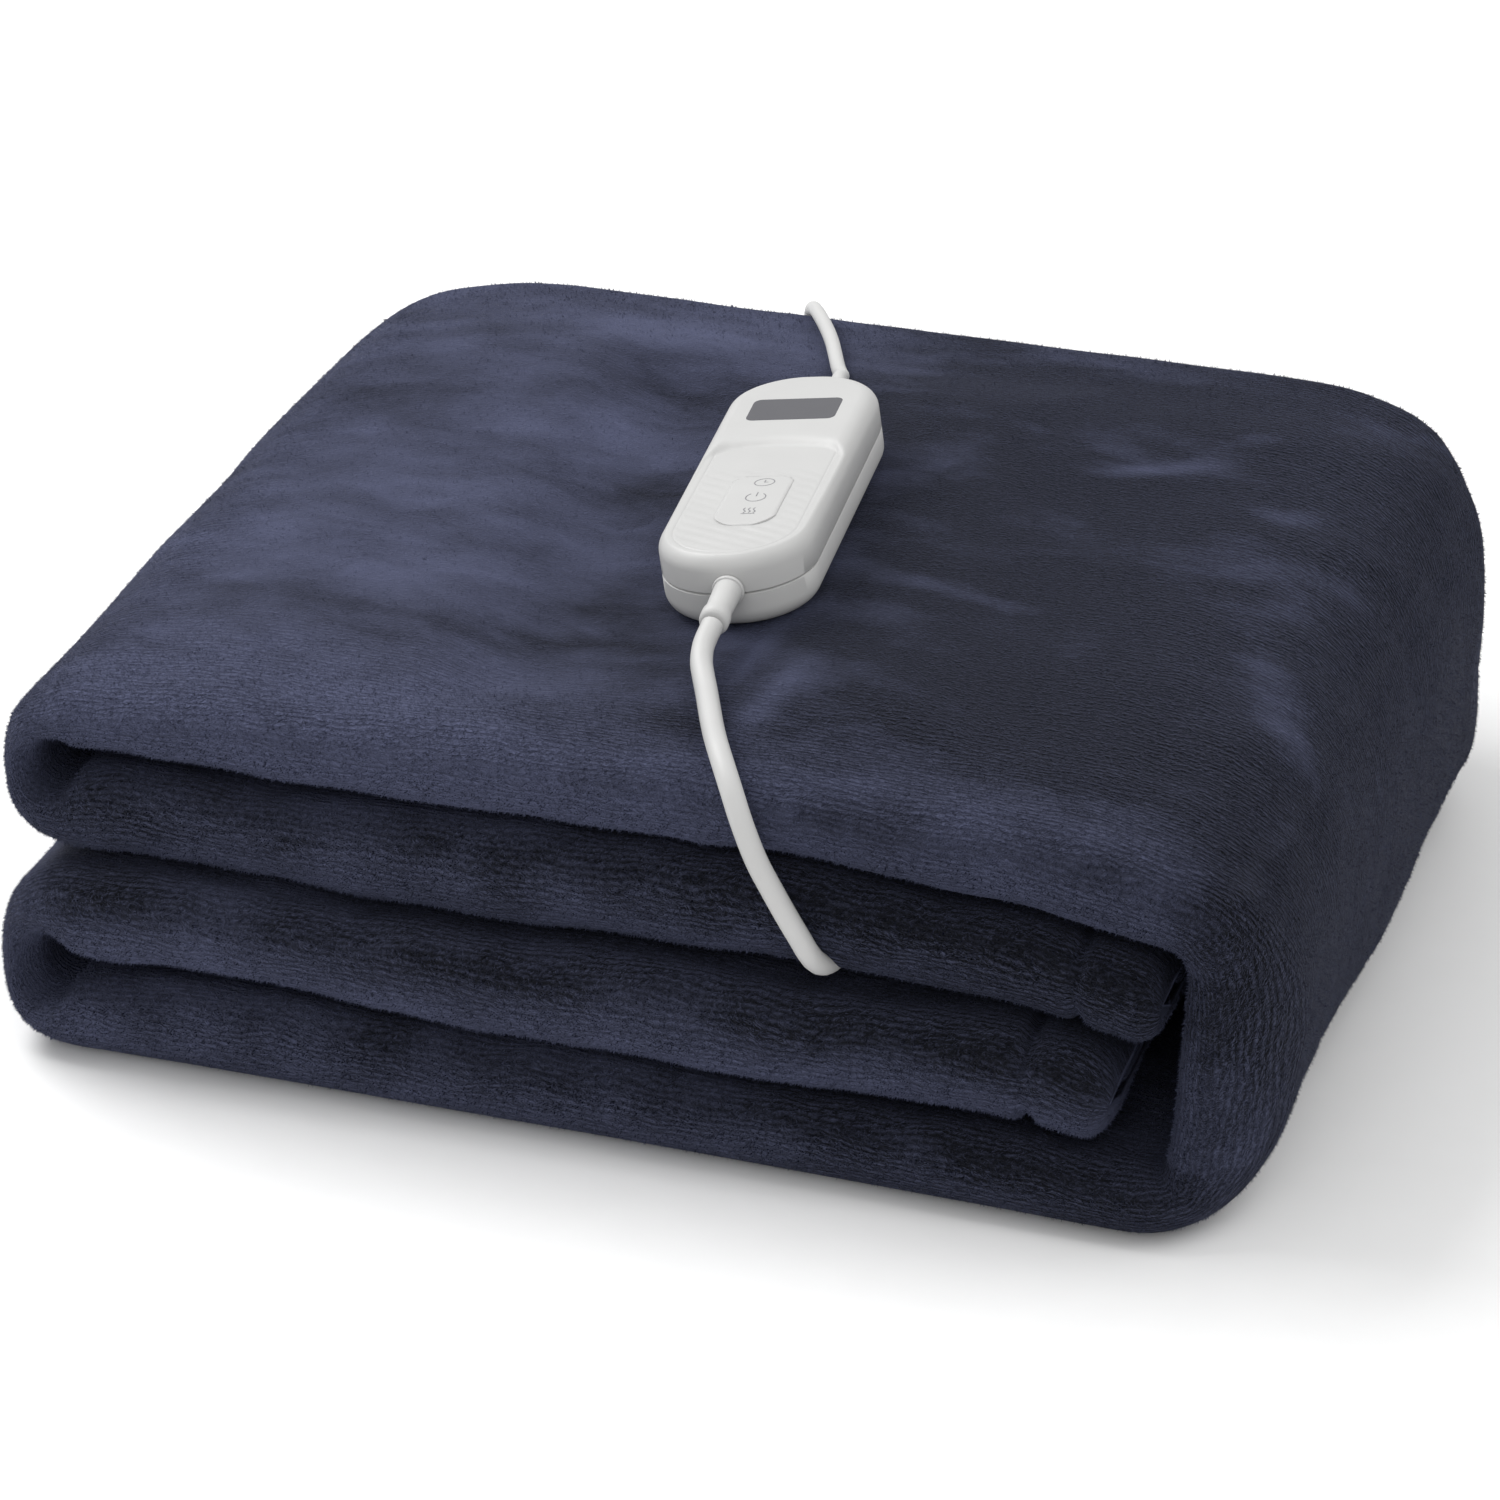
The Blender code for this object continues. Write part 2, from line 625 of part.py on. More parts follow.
def shell_solid(shell_rings):
    rings = []
    for inset, height in shell_rings:
        outline = rounded_outline(
            CONTROLLER_WIDTH - 2 * inset, CONTROLLER_LENGTH - 2 * inset, CONTROLLER_CORNER - inset
        )
        rings.append([(x, y, height) for x, y in outline])
    return loft(rings)


def flat_slab(outline, low, high):
    return loft([[(x, y, height) for x, y in outline] for height in (low, high)])


def panel_slab(outline, low, high):
    """A slab that follows the panel, between two heights above its surface."""
    return loft([[(x, y, panel_height(y) + lift) for x, y in outline] for lift in (low, high)])


def panel_height(y):
    """The sunk panel's surface, which rises towards the front."""
    return CONTROLLER_HEIGHT - PANEL_DEPTH + (STEP_Y - y) * PANEL_SLOPE


def step_line(half, back):
    """The bowed step across the cover, from right to left, with its ends curved to the front."""
    points = []
    for i in range(STEP_POINTS + 1):
        share = i / STEP_POINTS
        x = mix(half, -half, share)
        end = max(1.0 - min(share, 1.0 - share) / STEP_END, 0.0)
        points.append((x, back + STEP_BOW * (1.0 - (x / half) ** 2) - STEP_RUN * end * end))
    return points


def panel_outline(spread, back):
    """The panel's plan: round like the cover's own front end, with the step at the back."""
    inset = PANEL_MARGIN - spread
    half = CONTROLLER_WIDTH / 2 - inset
    corner = CONTROLLER_CORNER - inset
    front = -CONTROLLER_LENGTH / 2 + inset
    points = arc_points((corner - half, front + corner), corner, 180, 270, 8)
    points += arc_points((half - corner, front + corner), corner, 270, 360, 8)
    points.append((half, front + corner))
    return points + step_line(half, back)


def panel_cutter():
    """A tapered block whose floor is the panel and whose back wall is the sloping step."""
    above = CONTROLLER_HEIGHT + 0.0002
    floor = [(x, y, panel_height(y)) for x, y in panel_outline(0.0, STEP_Y)]
    rim = [(x, y, above) for x, y in panel_outline(PANEL_FLARE, STEP_Y + STEP_RUN)]
    return add_cutter("panel_cutter", loft([floor, rim]))


def pad_outline(gap):
    return rounded_outline(PAD_SIZE[0] + 2 * gap, PAD_SIZE[1] + 2 * gap, PAD_CORNER + gap, PAD_CENTRE)


def display_outline(gap):
    size = (DISPLAY_SIZE[0] + 2 * gap, DISPLAY_SIZE[1] + 2 * gap)
    return rounded_outline(*size, DISPLAY_CORNER + gap, (0.0, DISPLAY_Y), 4)


def bore_cutter(name, exit_point, radius):
    """A round hole along Y through the shells' end wall, for a strain relief's neck."""
    rings = [ReliefRing(radius, -BORE_REACH), ReliefRing(radius, BORE_REACH)]
    bm = relief_solid(rings, 1, Vector())
    bmesh.ops.translate(bm, vec=exit_point, verts=bm.verts)
    return add_cutter(name, bm)


def relief_line(rings, outward, bend, along):
    """The middle of a relief that is bent aside, and the direction that it runs there."""
    share = max(along / rings[-1].along, 0.0)
    middle = Vector((0.0, outward * along, 0.0)) + bend * share * share
    direction = Vector((0.0, outward, 0.0)) + bend * (2.0 * share / rings[-1].along)
    return middle, direction.normalized()


def relief_solid(rings, outward, bend):
    """A turned strain relief along Y, whose tip is bent aside by a vector."""
    loops = []
    for radius, along in rings:
        middle, direction = relief_line(rings, outward, bend, along)
        side = Vector((0.0, 0.0, 1.0)).cross(direction).normalized()
        up = direction.cross(side)
        loop = []
        for i in range(RELIEF_SIDES):
            angle = 2 * math.pi * i / RELIEF_SIDES
            loop.append(middle + radius * (math.cos(angle) * side + math.sin(angle) * up))
        loops.append(loop)
    return loft(loops)


def controller_place():
    """The empty that the controller's pieces hang from, under the controller's middle."""
    place = bpy.data.objects.new("controller_place", None)
    bpy.context.scene.collection.objects.link(place)
    place.location = CONTROLLER_PLACE
    place.rotation_euler = CONTROLLER_TURN
    return place


def build_shells(place):
    plastic = make_material("white_plastic", (0.80, 0.80, 0.79), 0.30)
    base = add_object("controller_base", mesh_from(shell_solid(BASE_RINGS), "base"), plastic, place)
    cover = add_object("controller_cover", mesh_from(shell_solid(COVER_RINGS), "cover"), plastic, place)
    cut(cover, panel_cutter())
    floor = CONTROLLER_HEIGHT - DISPLAY_THICKNESS - SEAM_GAP
    pocket = flat_slab(display_outline(SEAM_GAP), floor, CONTROLLER_HEIGHT + SEAM_GAP)
    cut(cover, add_cutter("display_cutter", pocket))
    pocket = panel_slab(pad_outline(SEAM_GAP), -PAD_SUNK - SEAM_GAP, 2 * PANEL_DEPTH)
    cut(cover, add_cutter("pad_cutter", pocket))
    for name, rings, exit_point in (
        ("lead_bore", LEAD_RELIEF_RINGS, LEAD_EXIT),
        ("mains_bore", MAINS_RELIEF_RINGS, MAINS_EXIT),
    ):
        bore = bore_cutter(name, exit_point, rings[0].radius + SEAM_GAP)
        cut(base, bore)
        cut(cover, bore)


def build_display(place):
    grey = make_material("display_grey", (0.075, 0.075, 0.085), 0.25)
    top = CONTROLLER_HEIGHT - DISPLAY_SUNK
    window = flat_slab(display_outline(0.0), CONTROLLER_HEIGHT - DISPLAY_THICKNESS, top)
    add_object("display_window", mesh_from(window, "window"), grey, place)


def build_key_pad(place):
    rubber = make_material("white_key_pad", (0.80, 0.80, 0.79), 0.45)
    pad = panel_slab(pad_outline(0.0), -PAD_SUNK, PAD_PROUD)
    add_object("key_pad", mesh_from(pad, "pad"), rubber, place)


def build_reliefs(place):
    rubber = make_material("white_relief", (0.78, 0.78, 0.77), 0.42)
    for name, rings, exit_point, outward, bend in (
        ("lead_relief", LEAD_RELIEF_RINGS, LEAD_EXIT, -1, LEAD_RELIEF_BEND),
        ("mains_relief", MAINS_RELIEF_RINGS, MAINS_EXIT, 1, MAINS_RELIEF_BEND),
    ):
        solid = relief_solid(rings, outward, bend)
        relief = add_object(name, mesh_from(solid, name), rubber, place)
        relief.location = exit_point


def cord_start(rings, exit_point, outward, bend):
    """The first two points of a cord that comes out of its relief, in the pack's frame."""
    middle, direction = relief_line(rings, outward, bend, rings[-1].along)
    turn = CONTROLLER_TURN.to_matrix()
    return [
        CONTROLLER_PLACE + turn @ (exit_point + middle + direction * on)
        for on in (2 * SEAM_GAP, STRAIGHT_START)
    ]


# ---------------------------------------------------------------- the cords
def smooth_route(route, spacing):
    """Evenly spaced points on a smooth curve through a route's own points."""
    points = [Vector(point) for point in route]
    points = [2 * points[0] - points[1]] + points + [2 * points[-1] - points[-2]]
    fine = []
    for a, b, c, d in zip(points, points[1:], points[2:], points[3:]):
        for i in range(CURVE_STEPS):
            t = i / CURVE_STEPS
            bend = (2 * a - 5 * b + 4 * c - d) * t**2 + (3 * b - a - 3 * c + d) * t**3
            fine.append(0.5 * (2 * b + (c - a) * t + bend))
    fine.append(points[-2])
    steps = [(q - p).length for p, q in zip(fine, fine[1:])]
    count = max(round(sum(steps) / spacing), 2)
    even, walked, target = [fine[0]], 0.0, 1
    for p, q, step in zip(fine, fine[1:], steps):
        while target < count and walked + step >= sum(steps) * target / count:
            share = (sum(steps) * target / count - walked) / step
            even.append(p.lerp(q, share))
            target += 1
        walked += step
    return even + [fine[-1]]


def lead_route():
    """The whole lead, from its relief to its end inside the crease."""
    return (*cord_start(LEAD_RELIEF_RINGS, LEAD_EXIT, -1, LEAD_RELIEF_BEND), *LEAD_ROUTE)


def add_tube(name, route, diameter, material):
    """A cord as a bevelled poly curve, with a point every few diameters."""
    curve = bpy.data.curves.new(name, "CURVE")
    curve.dimensions = "3D"
    points = smooth_route(route, TUBE_STEP * diameter)
    spline = curve.splines.new("POLY")
    spline.points.add(len(points) - 1)
    for spline_point, point in zip(spline.points, points):
        spline_point.co = (*point, 1.0)
    curve.bevel_depth = diameter / 2
    curve.bevel_resolution = 2
    curve.use_fill_caps = True
    curve.render_resolution_u = 0
    return add_object(name, curve, material)


def coil_solid():
    """The outer shape of the wound mains lead: a ring with rounded edges."""
    half = COIL_TURNS_ACROSS * MAINS_DIAMETER / 2
    high = COIL_TURNS_HIGH * MAINS_DIAMETER
    round_off = MAINS_DIAMETER * COIL_EDGE
    profile = (
        (half - round_off, 0.0), (half, round_off), (half, high - round_off),
        (half - round_off, high), (round_off - half, high), (-half, high - round_off),
        (-half, round_off), (round_off - half, 0.0),
    )
    bm = bmesh.new()
    loops = []
    for i in range(COIL_STEPS):
        angle = 2 * math.pi * i / COIL_STEPS
        out = Vector((math.cos(angle), math.sin(angle), 0.0))
        loops.append([
            bm.verts.new(COIL_CENTRE + out * (COIL_RADIUS + across) + Vector((0.0, 0.0, up)))
            for across, up in profile
        ])
    for low, high_loop in zip(loops, loops[1:] + loops[:1]):
        for i in range(len(profile)):
            j = (i + 1) % len(profile)
            bm.faces.new((low[i], low[j], high_loop[j], high_loop[i]))
    return bm


def build_plug(sheath):
    """A generic flat plug with two round pins."""
    rings = []
    for half_width, half_height, along in PLUG_RINGS:
        outline = rounded_outline(2 * half_width, 2 * half_height, PLUG_CORNER, steps=4)
        rings.append([PLUG_BACK + Vector((along, x, z)) for x, z in outline])
    add_object("plug_body", mesh_from(loft(rings), "plug_body"), sheath)

    relief = relief_solid(PLUG_RELIEF_RINGS, 1, Vector())
    bmesh.ops.rotate(relief, matrix=TO_X, verts=relief.verts)
    obj = add_object("plug_relief", mesh_from(relief, "plug_relief"), sheath)
    obj.location = PLUG_BACK - Vector((PLUG_RELIEF_RINGS[-1].along + SEAM_GAP, 0.0, 0.0))


def build_pins():
    metal = make_material("plug_metal", (0.75, 0.73, 0.70), 0.25, 1.0)
    start = PLUG_BACK + Vector((PLUG_RINGS[-1].along + SEAM_GAP, 0.0, 0.0))
    for name, side in (("plug_pin_left", 1), ("plug_pin_right", -1)):
        pin = relief_solid(PIN_RINGS, 1, Vector())
        bmesh.ops.rotate(pin, matrix=TO_X, verts=pin.verts)
        obj = add_object(name, mesh_from(pin, name), metal)
        obj.location = start + Vector((0.0, side * PIN_SPACING / 2, 0.0))


def build_cords():
    sheath = make_material("white_cord", (0.78, 0.78, 0.77), 0.42)
    mains_start = cord_start(MAINS_RELIEF_RINGS, MAINS_EXIT, 1, MAINS_RELIEF_BEND)
    add_tube("blanket_lead", lead_route(), LEAD_DIAMETER, sheath)
    add_tube("mains_lead", (*mains_start, *MAINS_ROUTE), MAINS_DIAMETER, sheath)
    add_tube("mains_tail", TAIL_ROUTE, MAINS_DIAMETER, sheath)
    add_object("mains_coil", mesh_from(coil_solid(), "mains_coil"), sheath)
    build_plug(sheath)
    build_pins()


def clear_scene():
    for obj in list(bpy.data.objects):
        bpy.data.objects.remove(obj, do_unlink=True)


def main():
    clear_scene()
    build_blanket()
    place = controller_place()
    build_shells(place)
    build_display(place)
    build_key_pad(place)
    build_reliefs(place)
    build_cords()


if __name__ == "__main__":
    main()
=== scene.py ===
# %% [markdown]
# # A heated throw, folded, with its hand controller
#
# The object is one plush throw. It is folded in three across its width, the long strip is folded
# at both ends towards the middle, and that is folded once more, so four soft strips lie on each
# other. A white controller lies on top. Its thick lead goes over the front edge into the pack, and
# its thin mains lead goes over the back edge to a coil and a plug on the floor.
#
# The imported model gives every piece its place. X runs along the front edge, -Y faces the viewer,
# Z is up, and all sizes are in metres. We deselect everything, because an operator acts on all that
# is selected.

# %% Load the imported model
import math

import bmesh
import bpy
import numpy as np
from mathutils import Euler, Matrix, Vector, noise


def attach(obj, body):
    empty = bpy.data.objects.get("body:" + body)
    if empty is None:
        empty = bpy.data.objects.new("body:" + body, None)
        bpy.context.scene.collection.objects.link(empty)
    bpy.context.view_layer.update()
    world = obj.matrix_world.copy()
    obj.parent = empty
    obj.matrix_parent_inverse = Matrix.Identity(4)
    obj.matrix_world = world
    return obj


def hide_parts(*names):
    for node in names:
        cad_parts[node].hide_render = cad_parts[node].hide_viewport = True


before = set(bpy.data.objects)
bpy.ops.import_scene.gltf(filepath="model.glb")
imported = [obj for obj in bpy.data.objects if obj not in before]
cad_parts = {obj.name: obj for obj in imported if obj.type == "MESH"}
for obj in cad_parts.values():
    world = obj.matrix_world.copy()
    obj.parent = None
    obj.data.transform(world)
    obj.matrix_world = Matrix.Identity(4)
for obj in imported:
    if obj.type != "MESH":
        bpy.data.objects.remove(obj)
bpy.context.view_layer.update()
bpy.ops.object.select_all(action="DESELECT")

# %% [markdown]
# ## The camera
#
# A product photograph like this one is taken from far away with a long lens, so edges that are
# parallel stay nearly parallel. The camera looks down at about 27 degrees, from 18 degrees to the
# right of straight in front. A camera looks along its own -Z, so we turn its Z towards where it
# stands. The small shift moves the picture in its frame without turning the camera.

# %% Place the camera
VIEW_TURN = math.radians(18.2322)
VIEW_RISE = math.radians(27.4181)
VIEW_DISTANCE = 2.1257
VIEW_AIM = Vector((0.0, 0.0, 0.07))

to_camera = Vector((
    math.sin(VIEW_TURN) * math.cos(VIEW_RISE),
    -math.cos(VIEW_TURN) * math.cos(VIEW_RISE),
    math.sin(VIEW_RISE),
))
bpy.ops.object.camera_add(location=VIEW_AIM + to_camera * VIEW_DISTANCE)
camera = bpy.context.object
camera.rotation_euler = to_camera.to_track_quat("Z", "Y").to_euler()
camera.data.lens = 158.0
camera.data.shift_x = -0.02592
camera.data.shift_y = -0.03695
camera.data.clip_start = 0.05
bpy.context.scene.camera = camera
print("camera at", [round(v, 3) for v in camera.location])

# %% [markdown]
# ## The cords
#
# Both cords are round and flexible, so each is a curve with a round bevel: its line is the middle
# of the cord. We give the line a few points to go through, in metres, and read evenly spaced
# points off a smooth curve through them. That keeps the bends soft, however few points we give.

# %% A smooth line through a few points
FINE_STEPS = 12  # steps from one point of a route to the next, before they are spaced evenly
CORD_ROUNDING = 5


def smooth_line(route, spacing):
    """Evenly spaced points on a smooth curve through a route's own points."""
    points = [Vector(point) for point in route]
    points = [2 * points[0] - points[1]] + points + [2 * points[-1] - points[-2]]
    fine = []
    for a, b, c, d in zip(points, points[1:], points[2:], points[3:]):
        for i in range(FINE_STEPS):
            t = i / FINE_STEPS
            bend = (2 * a - 5 * b + 4 * c - d) * t**2 + (3 * b - a - 3 * c + d) * t**3
            fine.append(0.5 * (2 * b + (c - a) * t + bend))
    fine.append(points[-2])
    walked = [0.0]
    for p, q in zip(fine, fine[1:]):
        walked.append(walked[-1] + (q - p).length)
    count = max(round(walked[-1] / spacing), 2)
    even, k = [], 0
    for i in range(count + 1):
        target = walked[-1] * i / count
        while k < len(fine) - 2 and walked[k + 1] < target:
            k += 1
        share = (target - walked[k]) / (walked[k + 1] - walked[k])
        even.append(fine[k].lerp(fine[k + 1], share))
    return even


def line_length(points):
    return sum((q - p).length for p, q in zip(points, points[1:]))


def new_object(name, data):
    piece = bpy.data.objects.new(name, data)
    bpy.context.collection.objects.link(piece)
    return piece


def round_lines(name, lines, radius, rounding):
    """One curve with a round bevel along each line of points."""
    curve = bpy.data.curves.new(name, "CURVE")
    curve.dimensions = "3D"
    curve.bevel_depth = radius
    curve.bevel_resolution = rounding
    curve.use_fill_caps = True
    for line in lines:
        spline = curve.splines.new("POLY")
        spline.points.add(len(line) - 1)
        for spline_point, point in zip(spline.points, line):
            spline_point.co = (*point, 1.0)
    return new_object(name, curve)


def make_cord(name, points, diameter, material):
    cord = round_lines(name, (points,), diameter / 2, CORD_ROUNDING)
    cord.data.materials.append(material)
    print(name, "is", round(line_length(points), 3), "m long")
    return cord

# %% [markdown]
# ## White rubber for the cords and their sleeves
#
# The sheath is soft PVC: warm white, satin rather than shiny, with a barely visible grain from
# its extrusion. A fine noise drives a very low bump, and a wide noise changes the roughness a
# little, so that a highlight along the cord isn't perfectly even. Everything is read from Object
# coordinates, which are the pack's own metres here, so the grain has its real size.

# %% Make the white sheath's material
CLOUD_SCALE, SHINE_CHANGE = 60.0, 0.04  # the faint patches of tone and shine on moulded pieces
GRAIN_DETAIL = 2.0
NOISE_MIDDLE = (0.3, 0.7)  # most of a noise's values lie between these


def new_material(name):
    material = bpy.data.materials.new(name)
    material.use_nodes = True
    return material


def set_inputs(tree, node, inputs):
    """Gives each input that is named a number, a colour or another node's output."""
    for name, value in inputs.items():
        if isinstance(value, bpy.types.NodeSocket):
            tree.links.new(value, node.inputs[name])
        else:
            node.inputs[name].default_value = value


def add_node(tree, kind, output, inputs, **settings):
    """The output of a new node, once the node's settings and inputs are in place."""
    node = tree.nodes.new("ShaderNode" + kind)
    for name, value in settings.items():
        setattr(node, name, value)
    set_inputs(tree, node, inputs)
    return node.outputs[output]


def noise_on(tree, vector, scale, detail=3.0, distortion=0.0):
    return add_node(tree, "TexNoise", "Fac", {
        "Vector": vector, "Scale": scale, "Detail": detail, "Distortion": distortion})


def spread(tree, value, low, high):
    """Spreads a noise's middle over a new range."""
    start, end = NOISE_MIDDLE
    return add_node(tree, "MapRange", "Result", {
        "Value": value, "From Min": start, "From Max": end, "To Min": low, "To Max": high})


def bump(tree, height, distance):
    return add_node(tree, "Bump", "Normal", {
        "Strength": 1.0, "Distance": distance, "Height": height})


def two_tone(tree, share, dark, light):
    colours = {"A": (*dark, 1.0), "B": (*light, 1.0), "Factor": share}
    return add_node(tree, "Mix", "Result", colours, data_type="RGBA")


def moulded_material(name, dark, light, roughness, grain, grain_depth):
    """Moulded plastic or rubber: a faint change of tone and shine, and a fine grain."""
    material = new_material(name)
    tree = material.node_tree
    place = add_node(tree, "TexCoord", "Object", {})
    cloudy = noise_on(tree, place, CLOUD_SCALE)
    set_inputs(tree, tree.nodes["Principled BSDF"], {
        "Base Color": two_tone(tree, cloudy, dark, light),
        "Roughness": spread(tree, cloudy, roughness - SHINE_CHANGE, roughness + SHINE_CHANGE),
        "Normal": bump(tree, noise_on(tree, place, grain, GRAIN_DETAIL), grain_depth),
    })
    return material


def warm_white(level):
    return (level, level, level - 0.005)


sheath = moulded_material(
    "sheath_rubber", warm_white(0.50), warm_white(0.55), 0.50, 2200.0, 0.00004)
sleeve_rubber = moulded_material(
    "sleeve_rubber", warm_white(0.49), warm_white(0.54), 0.52, 2600.0, 0.00006)
print("materials:", sheath.name, sleeve_rubber.name)

# %% [markdown]
# ## The lead into the throw
#
# This is the thick cord, 7 mm across, that feeds the heating wires. It leaves the sleeve at the
# controller's near end, lies down on the plush, goes over the rounded front edge and disappears
# into the crease between the second and third strips. Its last points are inside that crease.

# %% Lay the lead
LEAD_DIAMETER = 0.0070
LEAD_ROUTE = (
    (0.00593, -0.09288, 0.14063), (0.00625, -0.10198, 0.13828), (0.0081, -0.1095, 0.1365),
    (0.0108, -0.1155, 0.1348), (0.0142, -0.1228, 0.1340), (0.0182, -0.1320, 0.1338),
    (0.0225, -0.1420, 0.1340), (0.0268, -0.1513, 0.1340), (0.0316, -0.1605, 0.1334),
    (0.0374, -0.1692, 0.1290), (0.0428, -0.1745, 0.1202), (0.0478, -0.1762, 0.1095),
    (0.0527, -0.1762, 0.1002), (0.0575, -0.1760, 0.0915), (0.0611, -0.1755, 0.0850),
    (0.0632, -0.1742, 0.0800), (0.0647, -0.1713, 0.0755), (0.0657, -0.1671, 0.0724),
    (0.0664, -0.1620, 0.0706), (0.0669, -0.1560, 0.0700),
)
lead_line = smooth_line(LEAD_ROUTE, 0.0020)
lead = make_cord("heating_lead", lead_line, LEAD_DIAMETER, sheath)
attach(lead, "root")
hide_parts("blanket_lead")

# %% [markdown]
# ## The mains lead and its coil
#
# The thin cord, 5 mm across, goes over the back edge and down behind the pack. Most of it isn't
# used while the throw is put away, so it is wound into a small round coil behind the pack, nine
# turns in three layers of three. Each turn must lie beside or on the one before. So we list the
# places that a turn can have in the bundle, in the order in which they are wound, each next to the
# last, and let the cord slide from one place to the next over a short piece of each turn.
#
# Every change comes a little earlier round the circle than the one before it, which keeps the
# turn that moves away from the turn that comes after it.

# %% Wind the coil
MAINS_DIAMETER = 0.0050
MAINS_ROUTE = (
    (-0.01226, 0.08877, 0.13956), (-0.01458, 0.09765, 0.13755), (-0.0158, 0.1045, 0.1352),
    (-0.0190, 0.1125, 0.1324), (-0.0224, 0.1205, 0.1308), (-0.0265, 0.1305, 0.1300),
    (-0.0313, 0.1416, 0.1296), (-0.0364, 0.1520, 0.1290), (-0.0418, 0.1622, 0.1281),
    (-0.0468, 0.1718, 0.1263), (-0.0510, 0.1806, 0.1224), (-0.0537, 0.1868, 0.1144),
    (-0.0549, 0.1885, 0.1040), (-0.0560, 0.1890, 0.0880), (-0.0572, 0.1890, 0.0680),
    (-0.0584, 0.1894, 0.0470), (-0.0604, 0.1910, 0.0280), (-0.0650, 0.1958, 0.0130),
    (-0.0730, 0.2012, 0.0052), (-0.0840, 0.2044, 0.0030), (-0.0980, 0.2051, 0.0029),
)
TAIL_ROUTE = (
    (-0.0925, 0.2741, 0.0125), (-0.0855, 0.2704, 0.0115), (-0.0780, 0.2670, 0.0100),
    (-0.0700, 0.2648, 0.0085), (-0.0620, 0.2640, 0.0075), (-0.0558, 0.2640, 0.0071),
)
COIL_CENTRE = Vector((-0.1180, 0.2440, 0.0))
COIL_OUTSIDE = 0.0388  # where the cord comes in and goes out, past the outermost turn
# Degrees over which the cord comes in, slides from one place to the next, and goes out.
COMING_IN, SLIDING, GOING_OUT = 70.0, 40.0, 60.0
COIL_IN, COIL_OUT = -90.0, -3180.0  # degrees; it is wound clockwise, seen from above
# Radius and height of each turn, in the order of winding.
COIL_PLACES = (
    (0.0335, 0.0032), (0.0285, 0.0032), (0.0235, 0.0032),
    (0.0235, 0.0082), (0.0235, 0.0132), (0.0285, 0.0132),
    (0.0285, 0.0082), (0.0335, 0.0082), (0.0335, 0.0132),
)


def ease(share):
    """Runs from 0 to 1 with a soft start and a soft end."""
    share = min(max(share, 0.0), 1.0)
    return share * share * (3.0 - 2.0 * share)


def mix(low, high, share):
    return low + (high - low) * share


def coil_point(angle):
    """The cord's middle at an angle of its winding, in degrees, counted down from its start."""
    per_place = (COIL_IN - COIL_OUT) / len(COIL_PLACES)
    wound = COIL_IN - angle
    number = min(int(wound / per_place), len(COIL_PLACES) - 1)
    radius, height = COIL_PLACES[number]
    if number + 1 < len(COIL_PLACES):
        slide = ease((wound - (number + 1) * per_place + SLIDING) / SLIDING)
        radius = mix(radius, COIL_PLACES[number + 1][0], slide)
        height = mix(height, COIL_PLACES[number + 1][1], slide)
    radius = mix(COIL_OUTSIDE, radius, ease(wound / COMING_IN))
    radius = mix(COIL_OUTSIDE, radius, ease((angle - COIL_OUT) / GOING_OUT))
    turn = math.radians(angle)
    return COIL_CENTRE + Vector((radius * math.cos(turn), radius * math.sin(turn), height))


COIL_STEP = 10.0
coil_steps = round((COIL_IN - COIL_OUT) / COIL_STEP)
coil_route = [tuple(coil_point(COIL_IN - i * COIL_STEP)) for i in range(coil_steps + 1)]
mains_line = smooth_line((*MAINS_ROUTE, *coil_route, *TAIL_ROUTE), 0.0025)
mains = make_cord("mains_cord", mains_line, MAINS_DIAMETER, sheath)
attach(mains, "root")
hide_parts("mains_lead", "mains_coil", "mains_tail")

# %% [markdown]
# ## The throw
#
# The throw is one thick plush cloth. Folded, its layers can't be pulled over a simple box: the
# front edge shows four soft lips, the left side shows two rolls, the right side one tall wrap, and
# the hemmed ends show inside it. So the cloth is lofted. One outline goes round the strip's three
# layers, and that outline is carried along the strip's whole way through the pack: from the second
# strip's hem to the left, round the upper roll, over the top, down the right wrap, and so on.
#
# First the sizes. A few tables say how the pack departs from a neat stack: how far each place
# along the strip stands back from the front, and how high each lip lies along the front edge.

# %% Sizes of the folded pack
PACK_WIDTH, PACK_DEPTH, PACK_HEIGHT = 0.410, 0.362, 0.129
STRIP_COUNT = 4
LAYER_GAP = 0.0012
STRIP_PITCH = PACK_HEIGHT / STRIP_COUNT
STRIP_THICKNESS = STRIP_PITCH - LAYER_GAP
PLY = (STRIP_THICKNESS - 2 * LAYER_GAP) / 3
HEM_BACK_INSET, HEM_FRONT_INSET = 0.007, 0.024
ROLL_REACH, ROLL_POWER = 0.030, 2.2
WRAP_REACH, WRAP_POWER = 0.046, 2.7
UPPER_END_CLEARANCE, LOWER_END_CLEARANCE = 0.005, 0.018
CORNERS = {"left": (0.016, 0.056), "right": (0.042, 0.082)}  # front and back radius in plan

